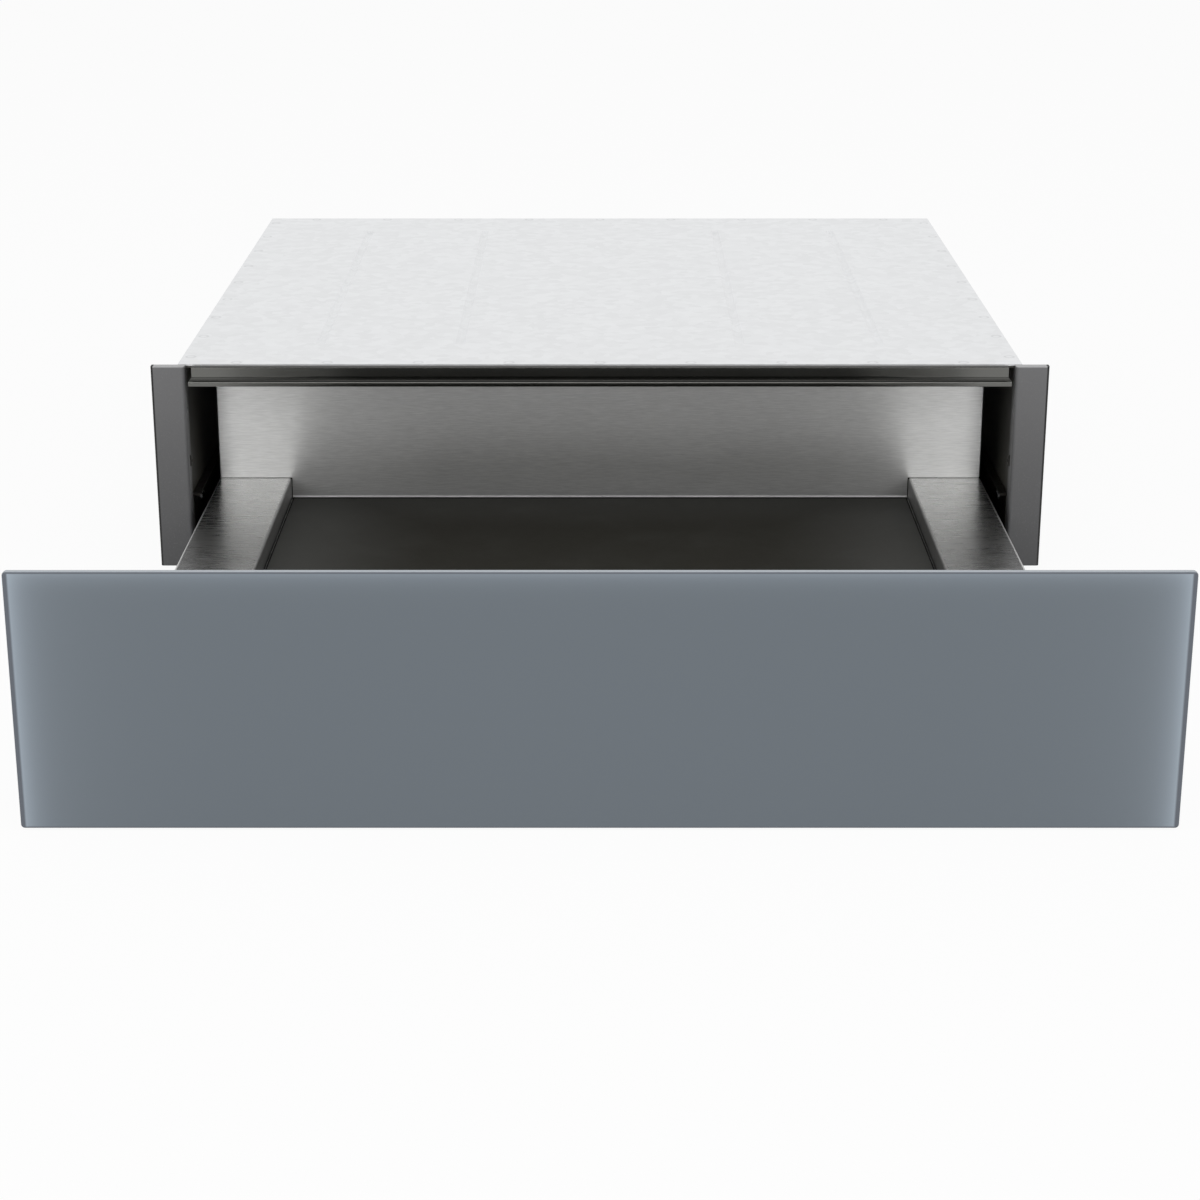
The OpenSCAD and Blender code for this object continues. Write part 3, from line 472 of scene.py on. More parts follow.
def rail_paint(look, top):
    """Glossy dark metallic coat of the top rail, with painted shade on its crest, in its groove and on its
    lip.
    """
    material, tree, shader, coords = start_finish("rail_black", Metallic=1.0)
    lines = placed(tree, "Rail lines", {"Vector": coords, "Top": top})
    marks = handling(tree, coords, 0.07)
    base = mix(tree, times(tree, marks, 0.12), look.rail, look.rail_mark)
    # Painted shade on the crest, in the groove and on the lip
    dark = lines["Crest"]
    for line, share in (("Groove", look.rail_groove_shade), ("Lip", look.rail_lip_shade)):
        dark = calc(tree, "MAXIMUM", dark, times(tree, lines[line], share))
    wire(tree, shader, "Base Color", mix(tree, dark, base, look.rail_line_shade))
    wire(tree, shader, "Roughness", calc(tree, "MULTIPLY_ADD", marks, 0.06, 0.13))
    bump(tree, shader, coat_peel(tree, coords, 0.002)["Height"], 0.000004)
    return material


def drawn_zinc(name, colour, roughness):
    """Zinc-plated rail with fine drawing lines along Y."""
    material, tree, shader, coords = start_finish(name, Metallic=1.0)
    lines = placed(tree, "Brush grain", {"Vector": quarter_turn(tree, coords), "Grain length": 0.05,
                                         "Grain width": 0.0004, "Streak length": 0.15, "Streak width": 0.003})
    shade = remap(tree, lines["Shade"], *SHADE_SPAN, 0.9, 1.08)
    wire(tree, shader, "Base Color", shaded(tree, colour, shade))
    wire(tree, shader, "Roughness", calc(tree, "MULTIPLY_ADD", handling(tree, coords, 0.03), 0.1, roughness))
    bump(tree, shader, lines["Height"], 0.00001)
    return material


def weld_rows(tree, coords, box, inset):
    """Dimple and Halo of spot welds in rows at inset from the four edges of a sheet that fills box."""
    across, along, _ = half_size(box)
    middle = centred(tree, coords, box)
    sides = placed(tree, "Spot welds", {"Vector": middle, "Row": across - inset})
    ends = placed(tree, "Spot welds", {"Vector": quarter_turn(tree, middle), "Row": along - inset})
    return [calc(tree, "MAXIMUM", sides[key], ends[key]) for key in ("Dimple", "Halo")]


def zinced(name, colour, roughness, crystal=0.006, contrast=0.15, welded_box=None):
    """Zinc-plated or galvanised steel with flat crystals, and with spot welds round welded_box if given."""
    material, tree, shader, coords = start_finish(name, Metallic=1.0)
    spangle = placed(tree, "Zinc spangle", {"Vector": coords, "Crystal size": crystal})
    shade = remap(tree, spangle["Shade"], 0.1, 0.9, 1.0 - contrast, 1.0 + contrast * 0.7)
    height = times(tree, spangle["Height"], 0.1)
    if welded_box:
        dimple, halo = weld_rows(tree, coords, welded_box, WELD_INSET)
        shade = times(tree, shade, remap(tree, halo, 0.0, 1.0, 1.0, 0.86))
        height = calc(tree, "SUBTRACT", height, dimple)
    wire(tree, shader, "Base Color", shaded(tree, colour, shade))
    wire(tree, shader, "Roughness", calc(tree, "MULTIPLY_ADD", spangle["Shade"], 0.14, roughness - 0.07))
    bump(tree, shader, height, 0.00006)
    return material


def polished_steel(name, colour, roughness):
    """Ground and polished steel with faint handling marks."""
    material, tree, shader, coords = start_finish(name, Metallic=1.0)
    marks = handling(tree, coords, 0.004, 0.6)
    wire(tree, shader, "Base Color", mix(tree, marks, colour, paler(colour, 1.15)))
    wire(tree, shader, "Roughness", calc(tree, "MULTIPLY_ADD", marks, 0.08, roughness))
    return material


def moulded(name, colour, roughness, grain=0.0008):
    """Moulded plastic or rubber with a spark-eroded grain and a little dust."""
    material, tree, shader, coords = start_finish(name, Metallic=0.0)
    peel = coat_peel(tree, coords, grain)
    speck = times(tree, peel["Speck"], 0.2)
    cover = calc(tree, "MULTIPLY_ADD", handling(tree, coords, 0.05, 0.6), 0.4, speck)
    wire(tree, shader, "Base Color", mix(tree, cover, colour, paler(colour, 1.3, 0.008)))
    wire(tree, shader, "Roughness", calc(tree, "MULTIPLY_ADD", peel["Height"], 0.1, roughness - 0.05))
    bump(tree, shader, peel["Height"], 0.00003)
    return material


def rubber_mat(look, box):
    """Rubber mat with a fine grain, a painted reflection that pales it towards its sides and ends, dust marks
    and specks, and a painted shadow along its rim.
    """
    material, tree, shader, coords = start_finish("mat_rubber", Metallic=0.0, Specular_IOR_Level=0.12)
    x, y, _ = split(tree, centred(tree, coords, box))
    half = half_size(box)
    side = calc(tree, "SUBTRACT", half[0], calc(tree, "ABSOLUTE", x))
    end = calc(tree, "SUBTRACT", half[1], calc(tree, "ABSOLUTE", y))
    # Painted reflection: paler towards the sides and ends
    dust = calc(tree, "MAXIMUM", remap(tree, side, -0.017, 0.113, 1.0, 0.0, smooth=True),
                remap(tree, end, 0.0, 0.075, 0.5, 0.0, smooth=True))
    peel = coat_peel(tree, coords, 0.0015)
    speck = times(tree, peel["Speck"], 0.08)
    cover = calc(tree, "MULTIPLY_ADD", handling(tree, coords, 0.05, 0.6), 0.15, speck)
    # Dust marks and specks share one paler colour with the painted reflection
    base = mix(tree, calc(tree, "ADD", dust, cover, clamp=True), look.mat, look.mat_dust_and_reflection)
    # Painted shadow along the rim
    nearest = calc(tree, "MINIMUM", side, times(tree, end, 0.4))
    rim = remap(tree, nearest, 0.8 * MM, MM, 1.0, 0.0)
    wire(tree, shader, "Base Color", mix(tree, rim, base, look.mat_rim_shadow))
    rough = calc(tree, "MULTIPLY_ADD", peel["Height"], 0.1, 0.7)
    wire(tree, shader, "Roughness", calc(tree, "MULTIPLY_ADD", rim, 0.3, rough, clamp=True))
    bump(tree, shader, peel["Height"], 0.00003)
    return material


# Pieces


def put_mesh(name, points, faces, material, body):
    """Makes a flat-shaded object from points and faces and lets it ride on a body."""
    mesh = bpy.data.meshes.new(name)
    mesh.from_pydata(points.tolist(), [], [list(f) for f in faces])
    mesh.validate()
    piece = bpy.data.objects.new(name, mesh)
    bpy.context.scene.collection.objects.link(piece)
    mesh.materials.append(material)
    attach(piece, body)
    return piece


def quads(rows, columns, wrap_rows=False, wrap_columns=False):
    """Faces of a grid of rows by columns points, closed round where it wraps."""
    i, j = np.indices((rows - (not wrap_rows), columns - (not wrap_columns))).reshape(2, -1)
    i2, j2 = (i + 1) % rows, (j + 1) % columns
    return np.stack([i * columns + j, i * columns + j2, i2 * columns + j2, i2 * columns + j], axis=1)


def pane_mesh(low, high, corner_r, arris):
    """Pane between two corners of a box, its front towards -Y.

    Its points are outline(u) moved inwards by inset(v) at depth(v). outline runs round a rectangle
    with corner arcs of radius corner_r, and (inset, depth) runs over the front's rounded arris, the flat
    edge and the back's rounded arris, so the rings from the front's to the back's close the pane.
    """
    arc = np.radians(np.linspace(0, 90, 9))
    quarter = np.concatenate([arc + k * np.pi / 2 for k in range(4)])
    half = np.array([high[0] - low[0], high[2] - low[2]]) / 2
    mid = np.array([high[0] + low[0], high[2] + low[2]]) / 2
    sign = np.repeat(np.array([[1, 1], [-1, 1], [-1, -1], [1, -1]]), len(arc), axis=0)
    round_off = np.radians(np.linspace(90, 0, 6))
    front = np.stack([arris * (1 - np.cos(round_off)), arris * (1 - np.sin(round_off))], axis=1)
    back = np.stack([front[::-1, 0], (high[1] - low[1]) - front[::-1, 1]], axis=1)
    inner = np.array([[corner_r * 0.9, 0.0]])
    closing = np.array([[corner_r * 0.9, high[1] - low[1]]])
    profile = np.concatenate([inner, front, back, closing])
    inset = profile[:, :1]
    ring = (corner_r - inset) * np.cos(quarter), (corner_r - inset) * np.sin(quarter)
    x = mid[0] + sign[:, 0] * (half[0] - corner_r) + ring[0]
    z = mid[1] + sign[:, 1] * (half[1] - corner_r) + ring[1]
    y = low[1] + np.repeat(profile[:, 1:], len(quarter), axis=1)
    points = np.stack([x, y, z], axis=2).reshape(-1, 3)
    around = len(quarter)
    faces = quads(len(profile), around, wrap_columns=True)[:, ::-1].tolist()
    last = (len(profile) - 1) * around
    faces.append(list(range(around)))
    faces.append(list(range(last + around - 1, last - 1, -1)))
    return points, faces


def bent_sheet(path, bend, thickness):
    """Closed outline of a sheet bent along path, as rows of two places and the half width there.

    A corner B, with legs u and v of the length bend back to A and on to C, becomes the curve
    B + (1 - t)^2 u + t^2 v. Each side of the sheet is half the thickness away along the normal.
    """
    line, width = path[:, :2], path[:, 2]
    t = np.linspace(0, 1, 5)[None, :, None]
    legs = np.diff(line, axis=0)
    legs = legs / np.linalg.norm(legs, axis=1, keepdims=True)
    u, v = -legs[:-1, None] * bend, legs[1:, None] * bend
    curve = (line[1:-1, None] + (1 - t) ** 2 * u + t ** 2 * v).reshape(-1, 2)
    middle = np.concatenate([line[:1], curve, line[-1:]])
    along = np.concatenate([legs[:1], (t * v - (1 - t) * u).reshape(-1, 2), legs[-1:]])
    normal = along[:, ::-1] * (-1, 1)
    normal = normal * thickness / 2 / np.linalg.norm(normal, axis=1, keepdims=True)
    wide = np.concatenate([width[:1], np.repeat(width[1:-1], 5), width[-1:]])
    outline = np.concatenate([middle + normal, (middle - normal)[::-1]])
    return outline, np.concatenate([wide, wide[::-1]])


def sheet_mesh(path, bend, thickness):
    """Bent sheet along X: its outline at minus and at plus the half width, joined, with closed ends."""
    outline, wide = bent_sheet(path, bend, thickness)
    points = np.stack([np.stack([side * wide, *outline.T], axis=1) for side in (-1, 1)], axis=1)
    rows = len(outline)
    i = np.arange(rows // 2 - 1)
    end = 2 * np.stack([i, i + 1, rows - 2 - i, rows - 1 - i], axis=1)
    faces = np.concatenate([quads(rows, 2, wrap_rows=True), end, end[:, ::-1] + 1])
    return points.reshape(-1, 3), faces.tolist()


class DrawerGlassLook(PropertyGroup):
    """Colours and edges of the glass front"""

    colour: FloatVectorProperty(
        name="Glass", description="Colour of the glass over its middle",
        subtype="COLOR", size=4, default=srgb(95, 103, 110))
    # Painted glow: the colour of light painted along the pane's edges
    glow: FloatVectorProperty(
        name="Edge glow", description="Colour that light through the edges gives the rim",
        subtype="COLOR", size=4, default=srgb(176, 188, 200))
    # Painted shade along the rounded arris
    arris: FloatVectorProperty(
        name="Arris", description="Colour of the ground arris",
        subtype="COLOR", size=4, default=srgb(88, 93, 101))
    # Painted highlight on the polished top edge
    polished: FloatVectorProperty(
        name="Top edge", description="Colour of the polished top edge",
        subtype="COLOR", size=4, default=srgb(140, 147, 154))
    # Strengths of the painted glow of light at the sides and the top
    side_glow: FloatProperty(
        name="Side glow", description="Strength of the glow at the side edges",
        default=0.75, min=0.0, max=1.0)
    haze: FloatProperty(
        name="Side haze", description="Strength of the wide haze at the side edges",
        default=0.13, min=0.0, max=1.0)
    top_glow: FloatProperty(
        name="Top glow", description="Strength of the glow at the top edge", default=0.3, min=0.0, max=1.0)
    roughness: FloatProperty(
        name="Satin", description="Roughness of the etched face", default=0.4, min=0.0, max=1.0)
    edge_r: FloatProperty(
        name="Arris width", description="Width of the rounded arris", unit="LENGTH", default=0.6 * MM)
    corner_r: FloatProperty(
        name="Corner radius", description="Radius of the pane's corners", unit="LENGTH", default=2 * MM)


class DrawerMetalLook(PropertyGroup):
    """Colours of the bare metals"""

    steel: FloatVectorProperty(
        name="Brushed steel", description="Colour of the tray",
        subtype="COLOR", size=4, default=srgb(209, 209, 208))
    wall: FloatVectorProperty(
        name="Back wall", description="Colour of the back wall and the inside of the front",
        subtype="COLOR", size=4, default=srgb(201, 201, 200))
    wall_roughness: FloatProperty(
        name="Wall roughness", description="Roughness of the back wall and the front's inside",
        default=0.34, min=0.0, max=1.0)
    wall_spread: FloatProperty(
        name="Wall spread", description="How much more the wall spreads across its grain",
        default=0.75, min=0.0, max=1.0)
    tray_roughness: FloatProperty(
        name="Tray roughness", description="Roughness of the brushed tray", default=0.27, min=0.0, max=1.0)
    tray_spread: FloatProperty(
        name="Tray spread", description="How much more the tray spreads across its grain",
        default=0.3, min=0.0, max=1.0)
    # Painted shade on faces turned to the sides
    side_face_shade: FloatProperty(
        name="Folded faces, shade", description="Share of the colour of side faces",
        default=0.5, min=0.0, max=1.0)
    folded_roughness: FloatProperty(
        name="Folded faces", description="Roughness that folding adds to side faces",
        default=0.22, min=0.0, max=1.0)
    # Painted shade at the tray's foot beside the mat
    foot_shade: FloatProperty(
        name="Tray's foot", description="Share of the colour left beside the mat",
        default=0.5, min=0.0, max=1.0)
    # Painted light and shade along the tray: darker near the front, paler at the back wall
    tray_front_shade: FloatProperty(
        name="Tray, front", description="Share of the tray's colour near the front",
        default=0.86, min=0.0, max=2.0)
    tray_rear_shade: FloatProperty(
        name="Tray, rear", description="Share of the tray's colour at the back wall",
        default=1.2, min=0.0, max=2.0)
    # Painted highlight on the wall's lower bend
    bend_highlight: FloatProperty(
        name="Burnish", description="Share of the colour of the wall's lower bend",
        default=1.25, min=0.0, max=2.0)
    # Painted shadow on the front of the wall's foot
    wall_foot_shade: FloatProperty(
        name="Wall's foot", description="Share of the colour left on the foot's front",
        default=0.15, min=0.0, max=1.0)
    # Painted light over the wall's lower part and painted shade near its top
    wall_low_shade: FloatProperty(
        name="Wall, low", description="Share of the wall's colour over its lower part",
        default=1.1, min=0.0, max=2.0)
    wall_top_shade: FloatProperty(
        name="Wall, top", description="Share of the wall's colour near its top",
        default=0.94, min=0.0, max=2.0)
    zinc: FloatVectorProperty(
        name="Zinc", description="Colour of the zinc-plated sheet",
        subtype="COLOR", size=4, default=srgb(206, 208, 210))
    bright_zinc: FloatVectorProperty(
        name="Bright zinc", description="Colour of the top panel",
        subtype="COLOR", size=4, default=srgb(230, 231, 232))
    ball: FloatVectorProperty(
        name="Balls", description="Colour of the bearing balls",
        subtype="COLOR", size=4, default=srgb(200, 201, 203))


class DrawerPaintLook(PropertyGroup):
    """Colours of the painted and moulded parts"""

    post: FloatVectorProperty(
        name="Posts", description="Colour of the painted posts",
        subtype="COLOR", size=4, default=srgb(101, 101, 102))
    # Painted shade towards the posts' feet
    post_low_shade: FloatVectorProperty(
        name="Posts, low", description="Colour of the posts near their feet",
        subtype="COLOR", size=4, default=srgb(66, 66, 67))
    # Painted highlight on the top edge, also the colour of the coat's specks
    post_cap_highlight_and_speck: FloatVectorProperty(
        name="Posts, top edge", description="Colour of the posts' top edge",
        subtype="COLOR", size=4, default=srgb(150, 150, 151))
    # Painted shade at the outer bend
    post_bend_shade: FloatVectorProperty(
        name="Posts, outer bend", description="Colour of the posts' outer bend",
        subtype="COLOR", size=4, default=srgb(14, 14, 14))
    bracket: FloatVectorProperty(
        name="Brackets", description="Colour of the brackets and the housing's screws",
        subtype="COLOR", size=4, default=srgb(70, 68, 64))
    housing: FloatVectorProperty(
        name="Housing", description="Colour of the housing's walls and base",
        subtype="COLOR", size=4, default=srgb(52, 51, 46))
    rail: FloatVectorProperty(
        name="Top rail", description="Colour of the top rail",
        subtype="COLOR", size=4, default=srgb(108, 108, 105))
    # Colour of the painted shade on the rail's crest, groove and lip
    rail_line_shade: FloatVectorProperty(
        name="Top rail, crest", description="Colour of the top rail's upper bend and its shaded lines",
        subtype="COLOR", size=4, default=srgb(50, 50, 49))
    rail_mark: FloatVectorProperty(
        name="Top rail, marks", description="Colour of handling marks on the top rail",
        subtype="COLOR", size=4, default=srgb(122, 122, 119))
    # Strengths of the painted shade in the groove and on the lip
    rail_groove_shade: FloatProperty(
        name="Groove's shade", description="How far the rail's groove is darker",
        default=0.5, min=0.0, max=1.0)
    rail_lip_shade: FloatProperty(
        name="Lip's shade", description="How far the rail's lip is darker", default=0.22, min=0.0, max=1.0)
    mat: FloatVectorProperty(
        name="Mat", description="Colour of the rubber mat", subtype="COLOR", size=4, default=srgb(35, 34, 30))
    # Colour of the painted reflection towards the mat's edges, and of its dust marks
    mat_dust_and_reflection: FloatVectorProperty(
        name="Mat, dusty", description="Colour of the mat towards its edges",
        subtype="COLOR", size=4, default=srgb(62, 62, 60))
    # Painted shadow along the mat's rim
    mat_rim_shadow: FloatVectorProperty(
        name="Mat, rim", description="Colour of the mat's rim",
        subtype="COLOR", size=4, default=srgb(3, 3, 3))
    black: FloatVectorProperty(
        name="Black rubber", description="Colour of the buffers and the tape",
        subtype="COLOR", size=4, default=srgb(24, 24, 25))
    plastic: FloatVectorProperty(
        name="Catch", description="Colour of the moulded catch bodies",
        subtype="COLOR", size=4, default=srgb(52, 58, 62))
    plunger: FloatVectorProperty(
        name="Plunger", description="Colour of the catches' plungers",
        subtype="COLOR", size=4, default=srgb(222, 221, 216))


class DrawerStudio(PropertyGroup):
    """Camera, lamps and floor"""

    camera_back: FloatProperty(
        name="Camera distance", description="Distance of the camera in front of the origin",
        unit="LENGTH", default=1.9204)
    camera_high: FloatProperty(
        name="Camera height", description="Height of the camera", unit="LENGTH", default=0.5437)
    pitch: FloatProperty(
        name="Pitch", description="Angle at which the camera looks down",
        subtype="ANGLE", default=math.radians(18.85))
    lens: FloatProperty(
        name="Focal length", description="Focal length on a 36 mm sensor", default=77.67)
    key_power: FloatProperty(
        name="Key lamp", description="Power of the big lamp above the front", default=42.0)
    side_power: FloatProperty(
        name="Side lamps", description="Power of each lamp at the sides", default=16.0)
    low_power: FloatProperty(
        name="Low lamp", description="Power of the long lamp low in front", default=12.0)
    fill: FloatProperty(
        name="Fill", description="Strength of the world's soft light", default=0.6)
    floor_size: FloatProperty(
        name="Floor", description="Side of the floor", unit="LENGTH", default=30.0)
    floor_tone: FloatVectorProperty(
        name="Floor tone", description="Colour of the floor's matt coat",
        subtype="COLOR", size=4, default=(0.6, 0.6, 0.6, 1.0))
    floor_white: FloatProperty(
        name="Floor white", description="How far the floor shows white to the camera",
        default=0.94, min=0.0, max=1.0)
    floor_steps: IntProperty(
        name="Floor steps", description="Squares along the floor's side", default=12)


class DRAWER_OT_camera(Operator):
    """Puts up the camera at the product view"""

    bl_idname = "drawer.camera"
    bl_label = "Camera"

    def execute(self, context):
        studio = context.scene.drawer_studio
        camera = bpy.data.cameras.new("camera")
        camera.lens = studio.lens
        camera.sensor_width = 36.0
        camera.clip_end = 200.0
        placed_camera = bpy.data.objects.new("camera", camera)
        placed_camera.location = (0.0, -studio.camera_back, studio.camera_high)
        placed_camera.rotation_euler = (math.pi / 2 - studio.pitch, 0.0, 0.0)
        context.scene.collection.objects.link(placed_camera)
        context.scene.camera = placed_camera
        return {"FINISHED"}


class DRAWER_OT_studio(Operator):
    """Lays the floor and hangs the lamps"""

    bl_idname = "drawer.studio"
    bl_label = "Studio"

    def seen(self, tree):
        """One for rays that show the background: from the camera, in a reflection or through glass."""
        path = add_node(tree, "LightPath").outputs
        either = calc(tree, "MAXIMUM", path["Is Camera Ray"], path["Is Glossy Ray"])
        return calc(tree, "MAXIMUM", either, path["Is Transmission Ray"])

    def make_world(self, context, fill):
        """White for seen rays, and a soft fill for the rest."""
        world = bpy.data.worlds.new("studio")
        context.scene.world = world
        world.use_nodes = True
        tree = world.node_tree
        background = tree.nodes["Background"]
        background.inputs["Color"].default_value = (1.0, 1.0, 1.0, 1.0)
        tree.links.new(remap(tree, self.seen(tree), 0.0, 1.0, fill, 1.0), background.inputs["Strength"])

    def floor_material(self, tone, whiteness):
        """Pale matt floor that shows nearly white and keeps shadows."""
        material = bpy.data.materials.new("studio_floor")
        material.use_nodes = True
        tree = material.node_tree
        tree.nodes.remove(tree.nodes["Principled BSDF"])
        output = tree.nodes["Material Output"]
        matt = add_node(tree, "BsdfDiffuse", {"Color": tone}).outputs[0]
        white = add_node(tree, "Emission", {"Color": (1.0, 1.0, 1.0, 1.0), "Strength": 1.0}).outputs[0]
        share = times(tree, self.seen(tree), whiteness)
        made = add_node(tree, "MixShader", {0: share, 1: matt, 2: white}).outputs[0]
        tree.links.new(made, output.inputs["Surface"])
        return material

    def lamp(self, context, name, place, aim, size, power, mirrored=False):
        """Area lamp at place that faces aim. Only a mirrored one shows in metal and glass."""
        light = bpy.data.lights.new(name, "AREA")
        light.shape = "RECTANGLE"
        light.size, light.size_y = size
        light.energy = power
        hung = bpy.data.objects.new(name, light)
        hung.location = place
        hung.visible_glossy = mirrored
        direction = np.array(aim) - np.array(place)
        hung.rotation_euler = (
            math.acos(-direction[2] / np.linalg.norm(direction)), 0.0,
            math.atan2(direction[1], direction[0]) - math.pi / 2,
        )
        context.scene.collection.objects.link(hung)

    def execute(self, context):
        studio = context.scene.drawer_studio
        context.scene.view_settings.view_transform = "Standard"
        self.make_world(context, studio.fill)
        steps = studio.floor_steps + 1
        line = np.linspace(-studio.floor_size / 2, studio.floor_size / 2, steps)
        x, y = np.meshgrid(line, line, indexing="ij")
        mesh = bpy.data.meshes.new("studio_floor")
        points = np.stack([x.ravel(), y.ravel(), np.full(x.size, -0.5 * MM)], axis=1)
        mesh.from_pydata(points.tolist(), [], quads(steps, steps)[:, ::-1].tolist())
        floor = bpy.data.objects.new("studio_floor", mesh)
        context.scene.collection.objects.link(floor)
        mesh.materials.append(self.floor_material(studio.floor_tone, studio.floor_white))
        middle = (0.0, -0.4, 0.05)
        self.lamp(context, "key_lamp", (0.0, -2.2, 2.4), middle, (3.6, 2.8), studio.key_power)
        self.lamp(context, "low_lamp", (0.0, -4.0, 0.55), (0.0, 0.0, 0.1), (3.0, 0.35), studio.low_power,
                  mirrored=True)
        for side in (-1, 1):
            self.lamp(context, "side_lamp", (side * 2.2, -1.2, 1.3), middle, (1.2, 1.2), studio.side_power)
        return {"FINISHED"}


class DRAWER_OT_patterns(Operator):
    """Builds the node groups that the finishes share"""

    bl_idname = "drawer.patterns"
    bl_label = "Patterns"

    def execute(self, context):
        for make in GROUP_MAKERS:
            make()
        return {"FINISHED"}


class DRAWER_OT_finishes(Operator):
    """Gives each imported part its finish"""

    bl_idname = "drawer.finishes"
    bl_label = "Finishes"

    def execute(self, context):
        metal = context.scene.drawer_metal
        paint = context.scene.drawer_paint
        sides = ("left", "right")
        outer, _, post_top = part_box("post_right")[1]
        _, mat_end, mat_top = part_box("mat")[1]
        foot_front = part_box("back_wall")[0][1]
        fade_from, fade_to = 0.076, 0.11
        wall = (metal, metal.wall, metal.wall_roughness, metal.wall_spread, WALL_STREAK)
        # Painted shadow on the foot's front, a painted highlight on the lower bend, and painted light over
        # the lower part with painted shade near the top
        wall_ramps = (
            (1, foot_front + 1.8 * MM, foot_front + 2.4 * MM, metal.wall_foot_shade, 1.0),
            (2, mat_top + 0.2 * MM, mat_top + 0.8 * MM, metal.bend_highlight, 1.0),
            (2, fade_from, fade_to, metal.wall_low_shade, metal.wall_top_shade),
        )
        tray = (metal, metal.steel, metal.tray_roughness, metal.tray_spread, TRAY_STREAK)
        tray_fade = 0.16
        # Painted shade at the foot beside the mat, and painted light that pales the tray towards the back
        # wall
        tray_ramps = (
            (2, mat_top, mat_top + MM, metal.foot_shade, 1.0),
            (1, mat_end - tray_fade, mat_end, metal.tray_front_shade, metal.tray_rear_shade),
        )
        finishes = (
            (coated("housing_steel", paint.housing, 0.5),
             ["base_panel", "rear_panel"] + [f"side_panel_{s}" for s in sides]),
            (zinced("top_zinc", metal.bright_zinc, 0.55, 0.007, 0.05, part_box("top_panel")), ["top_panel"]),
            (post_paint(paint, outer, post_top), [f"post_{s}" for s in sides]),
            (zinced("bracket_steel", paint.bracket, 0.45), [f"runner_bracket_{s}" for s in sides]),
            (drawn_zinc("rail_zinc", metal.zinc, 0.28),
             [f"{r}_rail_{s}" for r in ("fixed", "middle", "drawer") for s in sides]),
            (zinced("zinc_sheet", metal.zinc, 0.4),
             ["floor_stiffener_front", "floor_stiffener_rear", "front_carrier"]
             + [f"{p}_{s}" for p in ("rail_angle", "striker") for s in sides]),
            (polished_steel("zinc_fasteners", metal.zinc, 0.25),
             ["bracket_rivets", "drawer_rivets", "catch_screws", "front_screws"]),
            (polished_steel("black_screws", paint.bracket, 0.4), ["housing_screws"]),
            (brushed_steel("brushed_wall", *wall, wall_ramps), ["back_wall"]),
            (brushed_steel("brushed_front", *wall), ["inner_front"]),
            (brushed_steel("brushed_tray", *tray, tray_ramps), ["tray"]),
            (polished_steel("ball_steel", metal.ball, 0.08),
             [f"{p}_balls_{s}" for p in ("outer", "inner") for s in sides]),
            (polished_steel("cage_steel", metal.zinc, 0.3),
             [f"{p}_cage_{s}" for p in ("outer", "inner") for s in sides]),
            (rubber_mat(paint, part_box("mat")), ["mat"]),
            (moulded("black_rubber", paint.black, 0.7), ["rail_buffers", "front_buffers"]),
            (moulded("tape_foam", paint.black, 0.85, 0.0006), ["bonding_tape"]),
            (moulded("catch_plastic", paint.plastic, 0.5), [f"catch_body_{s}" for s in sides]),
            (moulded("plunger_plastic", paint.plunger, 0.4), [f"catch_plunger_{s}" for s in sides]),
        )
        for material, names in finishes:
            for name in names:
                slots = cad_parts[name].material_slots
                if not slots:
                    raise RuntimeError(f"{name} has no material slot")
                for slot in slots:
                    slot.material = material
        return {"FINISHED"}


class DRAWER_OT_glass_pane(Operator):
    """Makes the satin glass pane with its rounded arris"""

    bl_idname = "drawer.glass_pane"
    bl_label = "Glass pane"

    def execute(self, context):
        look = context.scene.drawer_glass
        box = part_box("glass_front")
        points, faces = pane_mesh(*box, look.corner_r, look.edge_r)
        pane = put_mesh("glass_pane", points, faces, satin_glass(look, box), "drawer")
        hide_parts("glass_front")
        return {"FINISHED"}


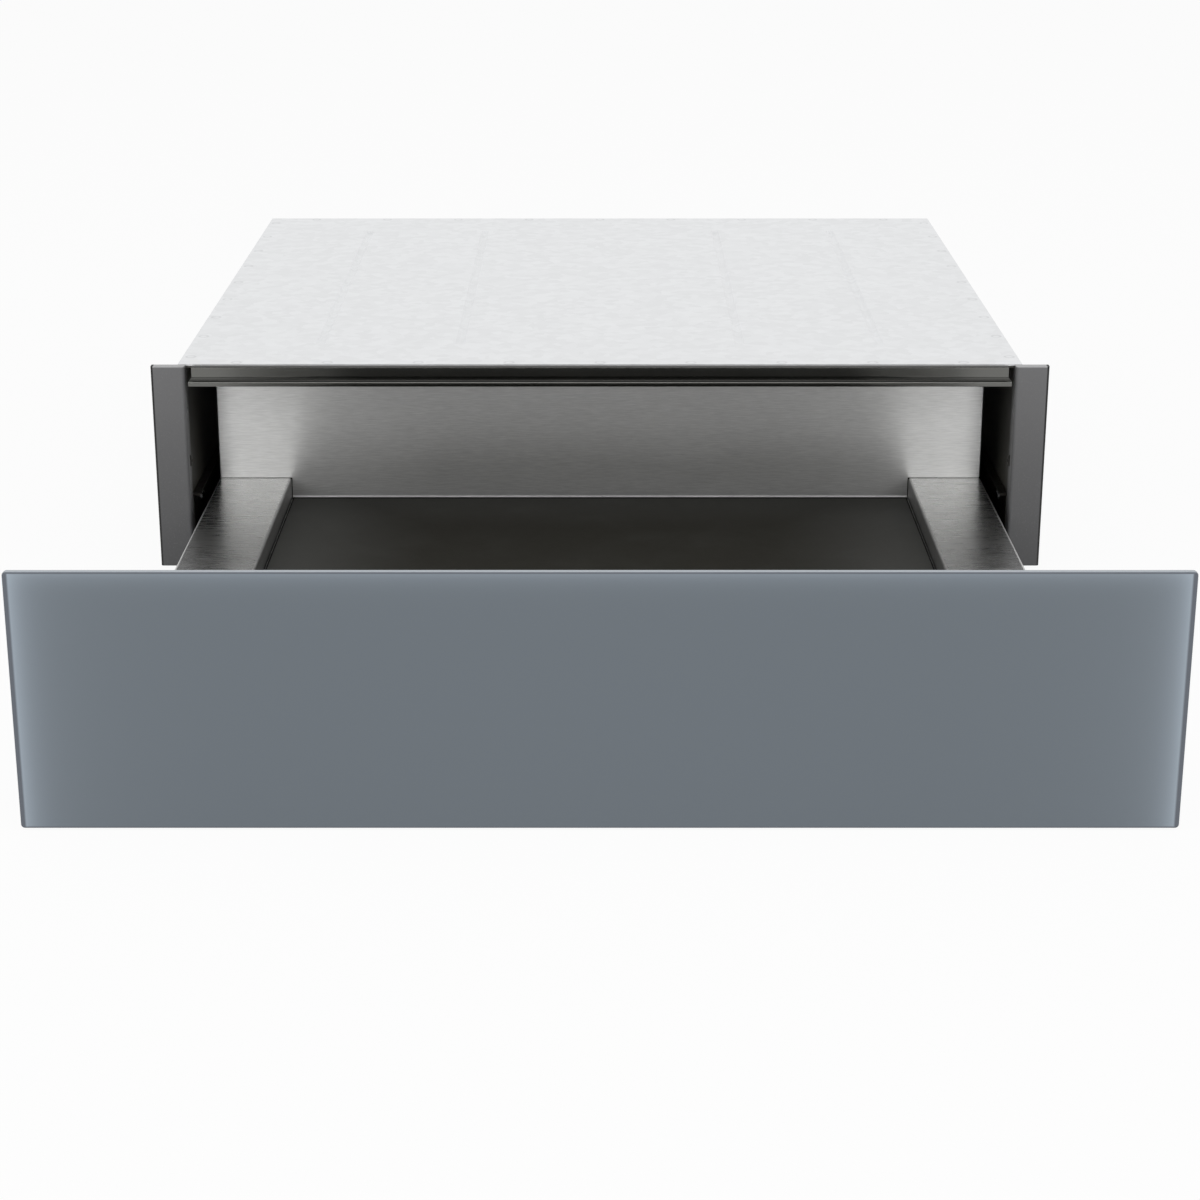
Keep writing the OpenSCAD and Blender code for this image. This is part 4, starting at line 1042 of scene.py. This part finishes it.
class DRAWER_OT_front_rail(Operator):
    """Makes the roll-formed top rail with its face, its groove and its deep folded lip"""

    bl_idname = "drawer.front_rail"
    bl_label = "Front rail"

    def execute(self, context):
        low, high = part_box("top_rail")
        gauge, bend = 0.8 * MM, 0.5 * MM
        front, top = low[1] + gauge / 2, high[2]
        lip_x, face_x, rest_x = high[0], high[0] - 2.3 * MM, high[0] - 4.6 * MM
        face_y, crest_y, rest_y, groove_y, hem_y = (y * MM for y in (0.6, 3.9, 5.9, 3.2, 11.2))
        rest_z, face_z, groove_z, lip_z, hem_z = (z * MM for z in (-2.9, -7.2, -10.5, -13.2, -10.2))
        section = np.array([
            [high[1] - front, rest_z, rest_x],
            [rest_y, rest_z, rest_x],
            [crest_y, -gauge / 2, face_x],
            [face_y, -gauge / 2, face_x],
            [face_y, face_z, face_x],
            [groove_y, face_z, face_x],
            [groove_y, groove_z, lip_x],
            [0.0, groove_z, lip_x],
            [0.0, lip_z, lip_x],
            [hem_y, lip_z, lip_x],
            [hem_y, hem_z, lip_x],
        ])
        points, faces = sheet_mesh(section + (front, top, 0.0), bend, gauge)
        paint = rail_paint(context.scene.drawer_paint, top)
        rail = put_mesh("front_rail", points, faces, paint, "housing")
        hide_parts("top_rail")
        return {"FINISHED"}


class DRAWER_PT_pieces(Panel):
    """Lists the pieces and the looks in the sidebar"""

    bl_idname = "DRAWER_PT_pieces"
    bl_label = "Storage drawer"
    bl_space_type = "VIEW_3D"
    bl_region_type = "UI"
    bl_category = "Drawer"

    def draw(self, context):
        for step in STEPS:
            self.layout.operator(step.bl_idname)
        for name, group in LOOKS:
            box = self.layout.box()
            for key in group.__annotations__:
                box.prop(getattr(context.scene, name), key)


LOOKS = (
    ("drawer_glass", DrawerGlassLook),
    ("drawer_metal", DrawerMetalLook),
    ("drawer_paint", DrawerPaintLook),
    ("drawer_studio", DrawerStudio),
)
STEPS = (
    DRAWER_OT_camera,
    DRAWER_OT_studio,
    DRAWER_OT_patterns,
    DRAWER_OT_finishes,
    DRAWER_OT_glass_pane,
    DRAWER_OT_front_rail,
)


def register():
    """Registers the looks, the steps and the panel."""
    for name, group in LOOKS:
        bpy.utils.register_class(group)
        setattr(bpy.types.Scene, name, PointerProperty(type=group))
    for step in STEPS:
        bpy.utils.register_class(step)
    bpy.utils.register_class(DRAWER_PT_pieces)


def unregister():
    """Undoes register."""
    bpy.utils.unregister_class(DRAWER_PT_pieces)
    for step in reversed(STEPS):
        bpy.utils.unregister_class(step)
    for name, group in reversed(LOOKS):
        delattr(bpy.types.Scene, name)
        bpy.utils.unregister_class(group)


def main():
    """Builds the drawer step by step."""
    register()
    bpy.ops.drawer.camera()
    bpy.ops.drawer.studio()
    bpy.ops.drawer.patterns()
    bpy.ops.drawer.finishes()
    bpy.ops.drawer.glass_pane()
    bpy.ops.drawer.front_rail()


if __name__ == "__main__":
    main()
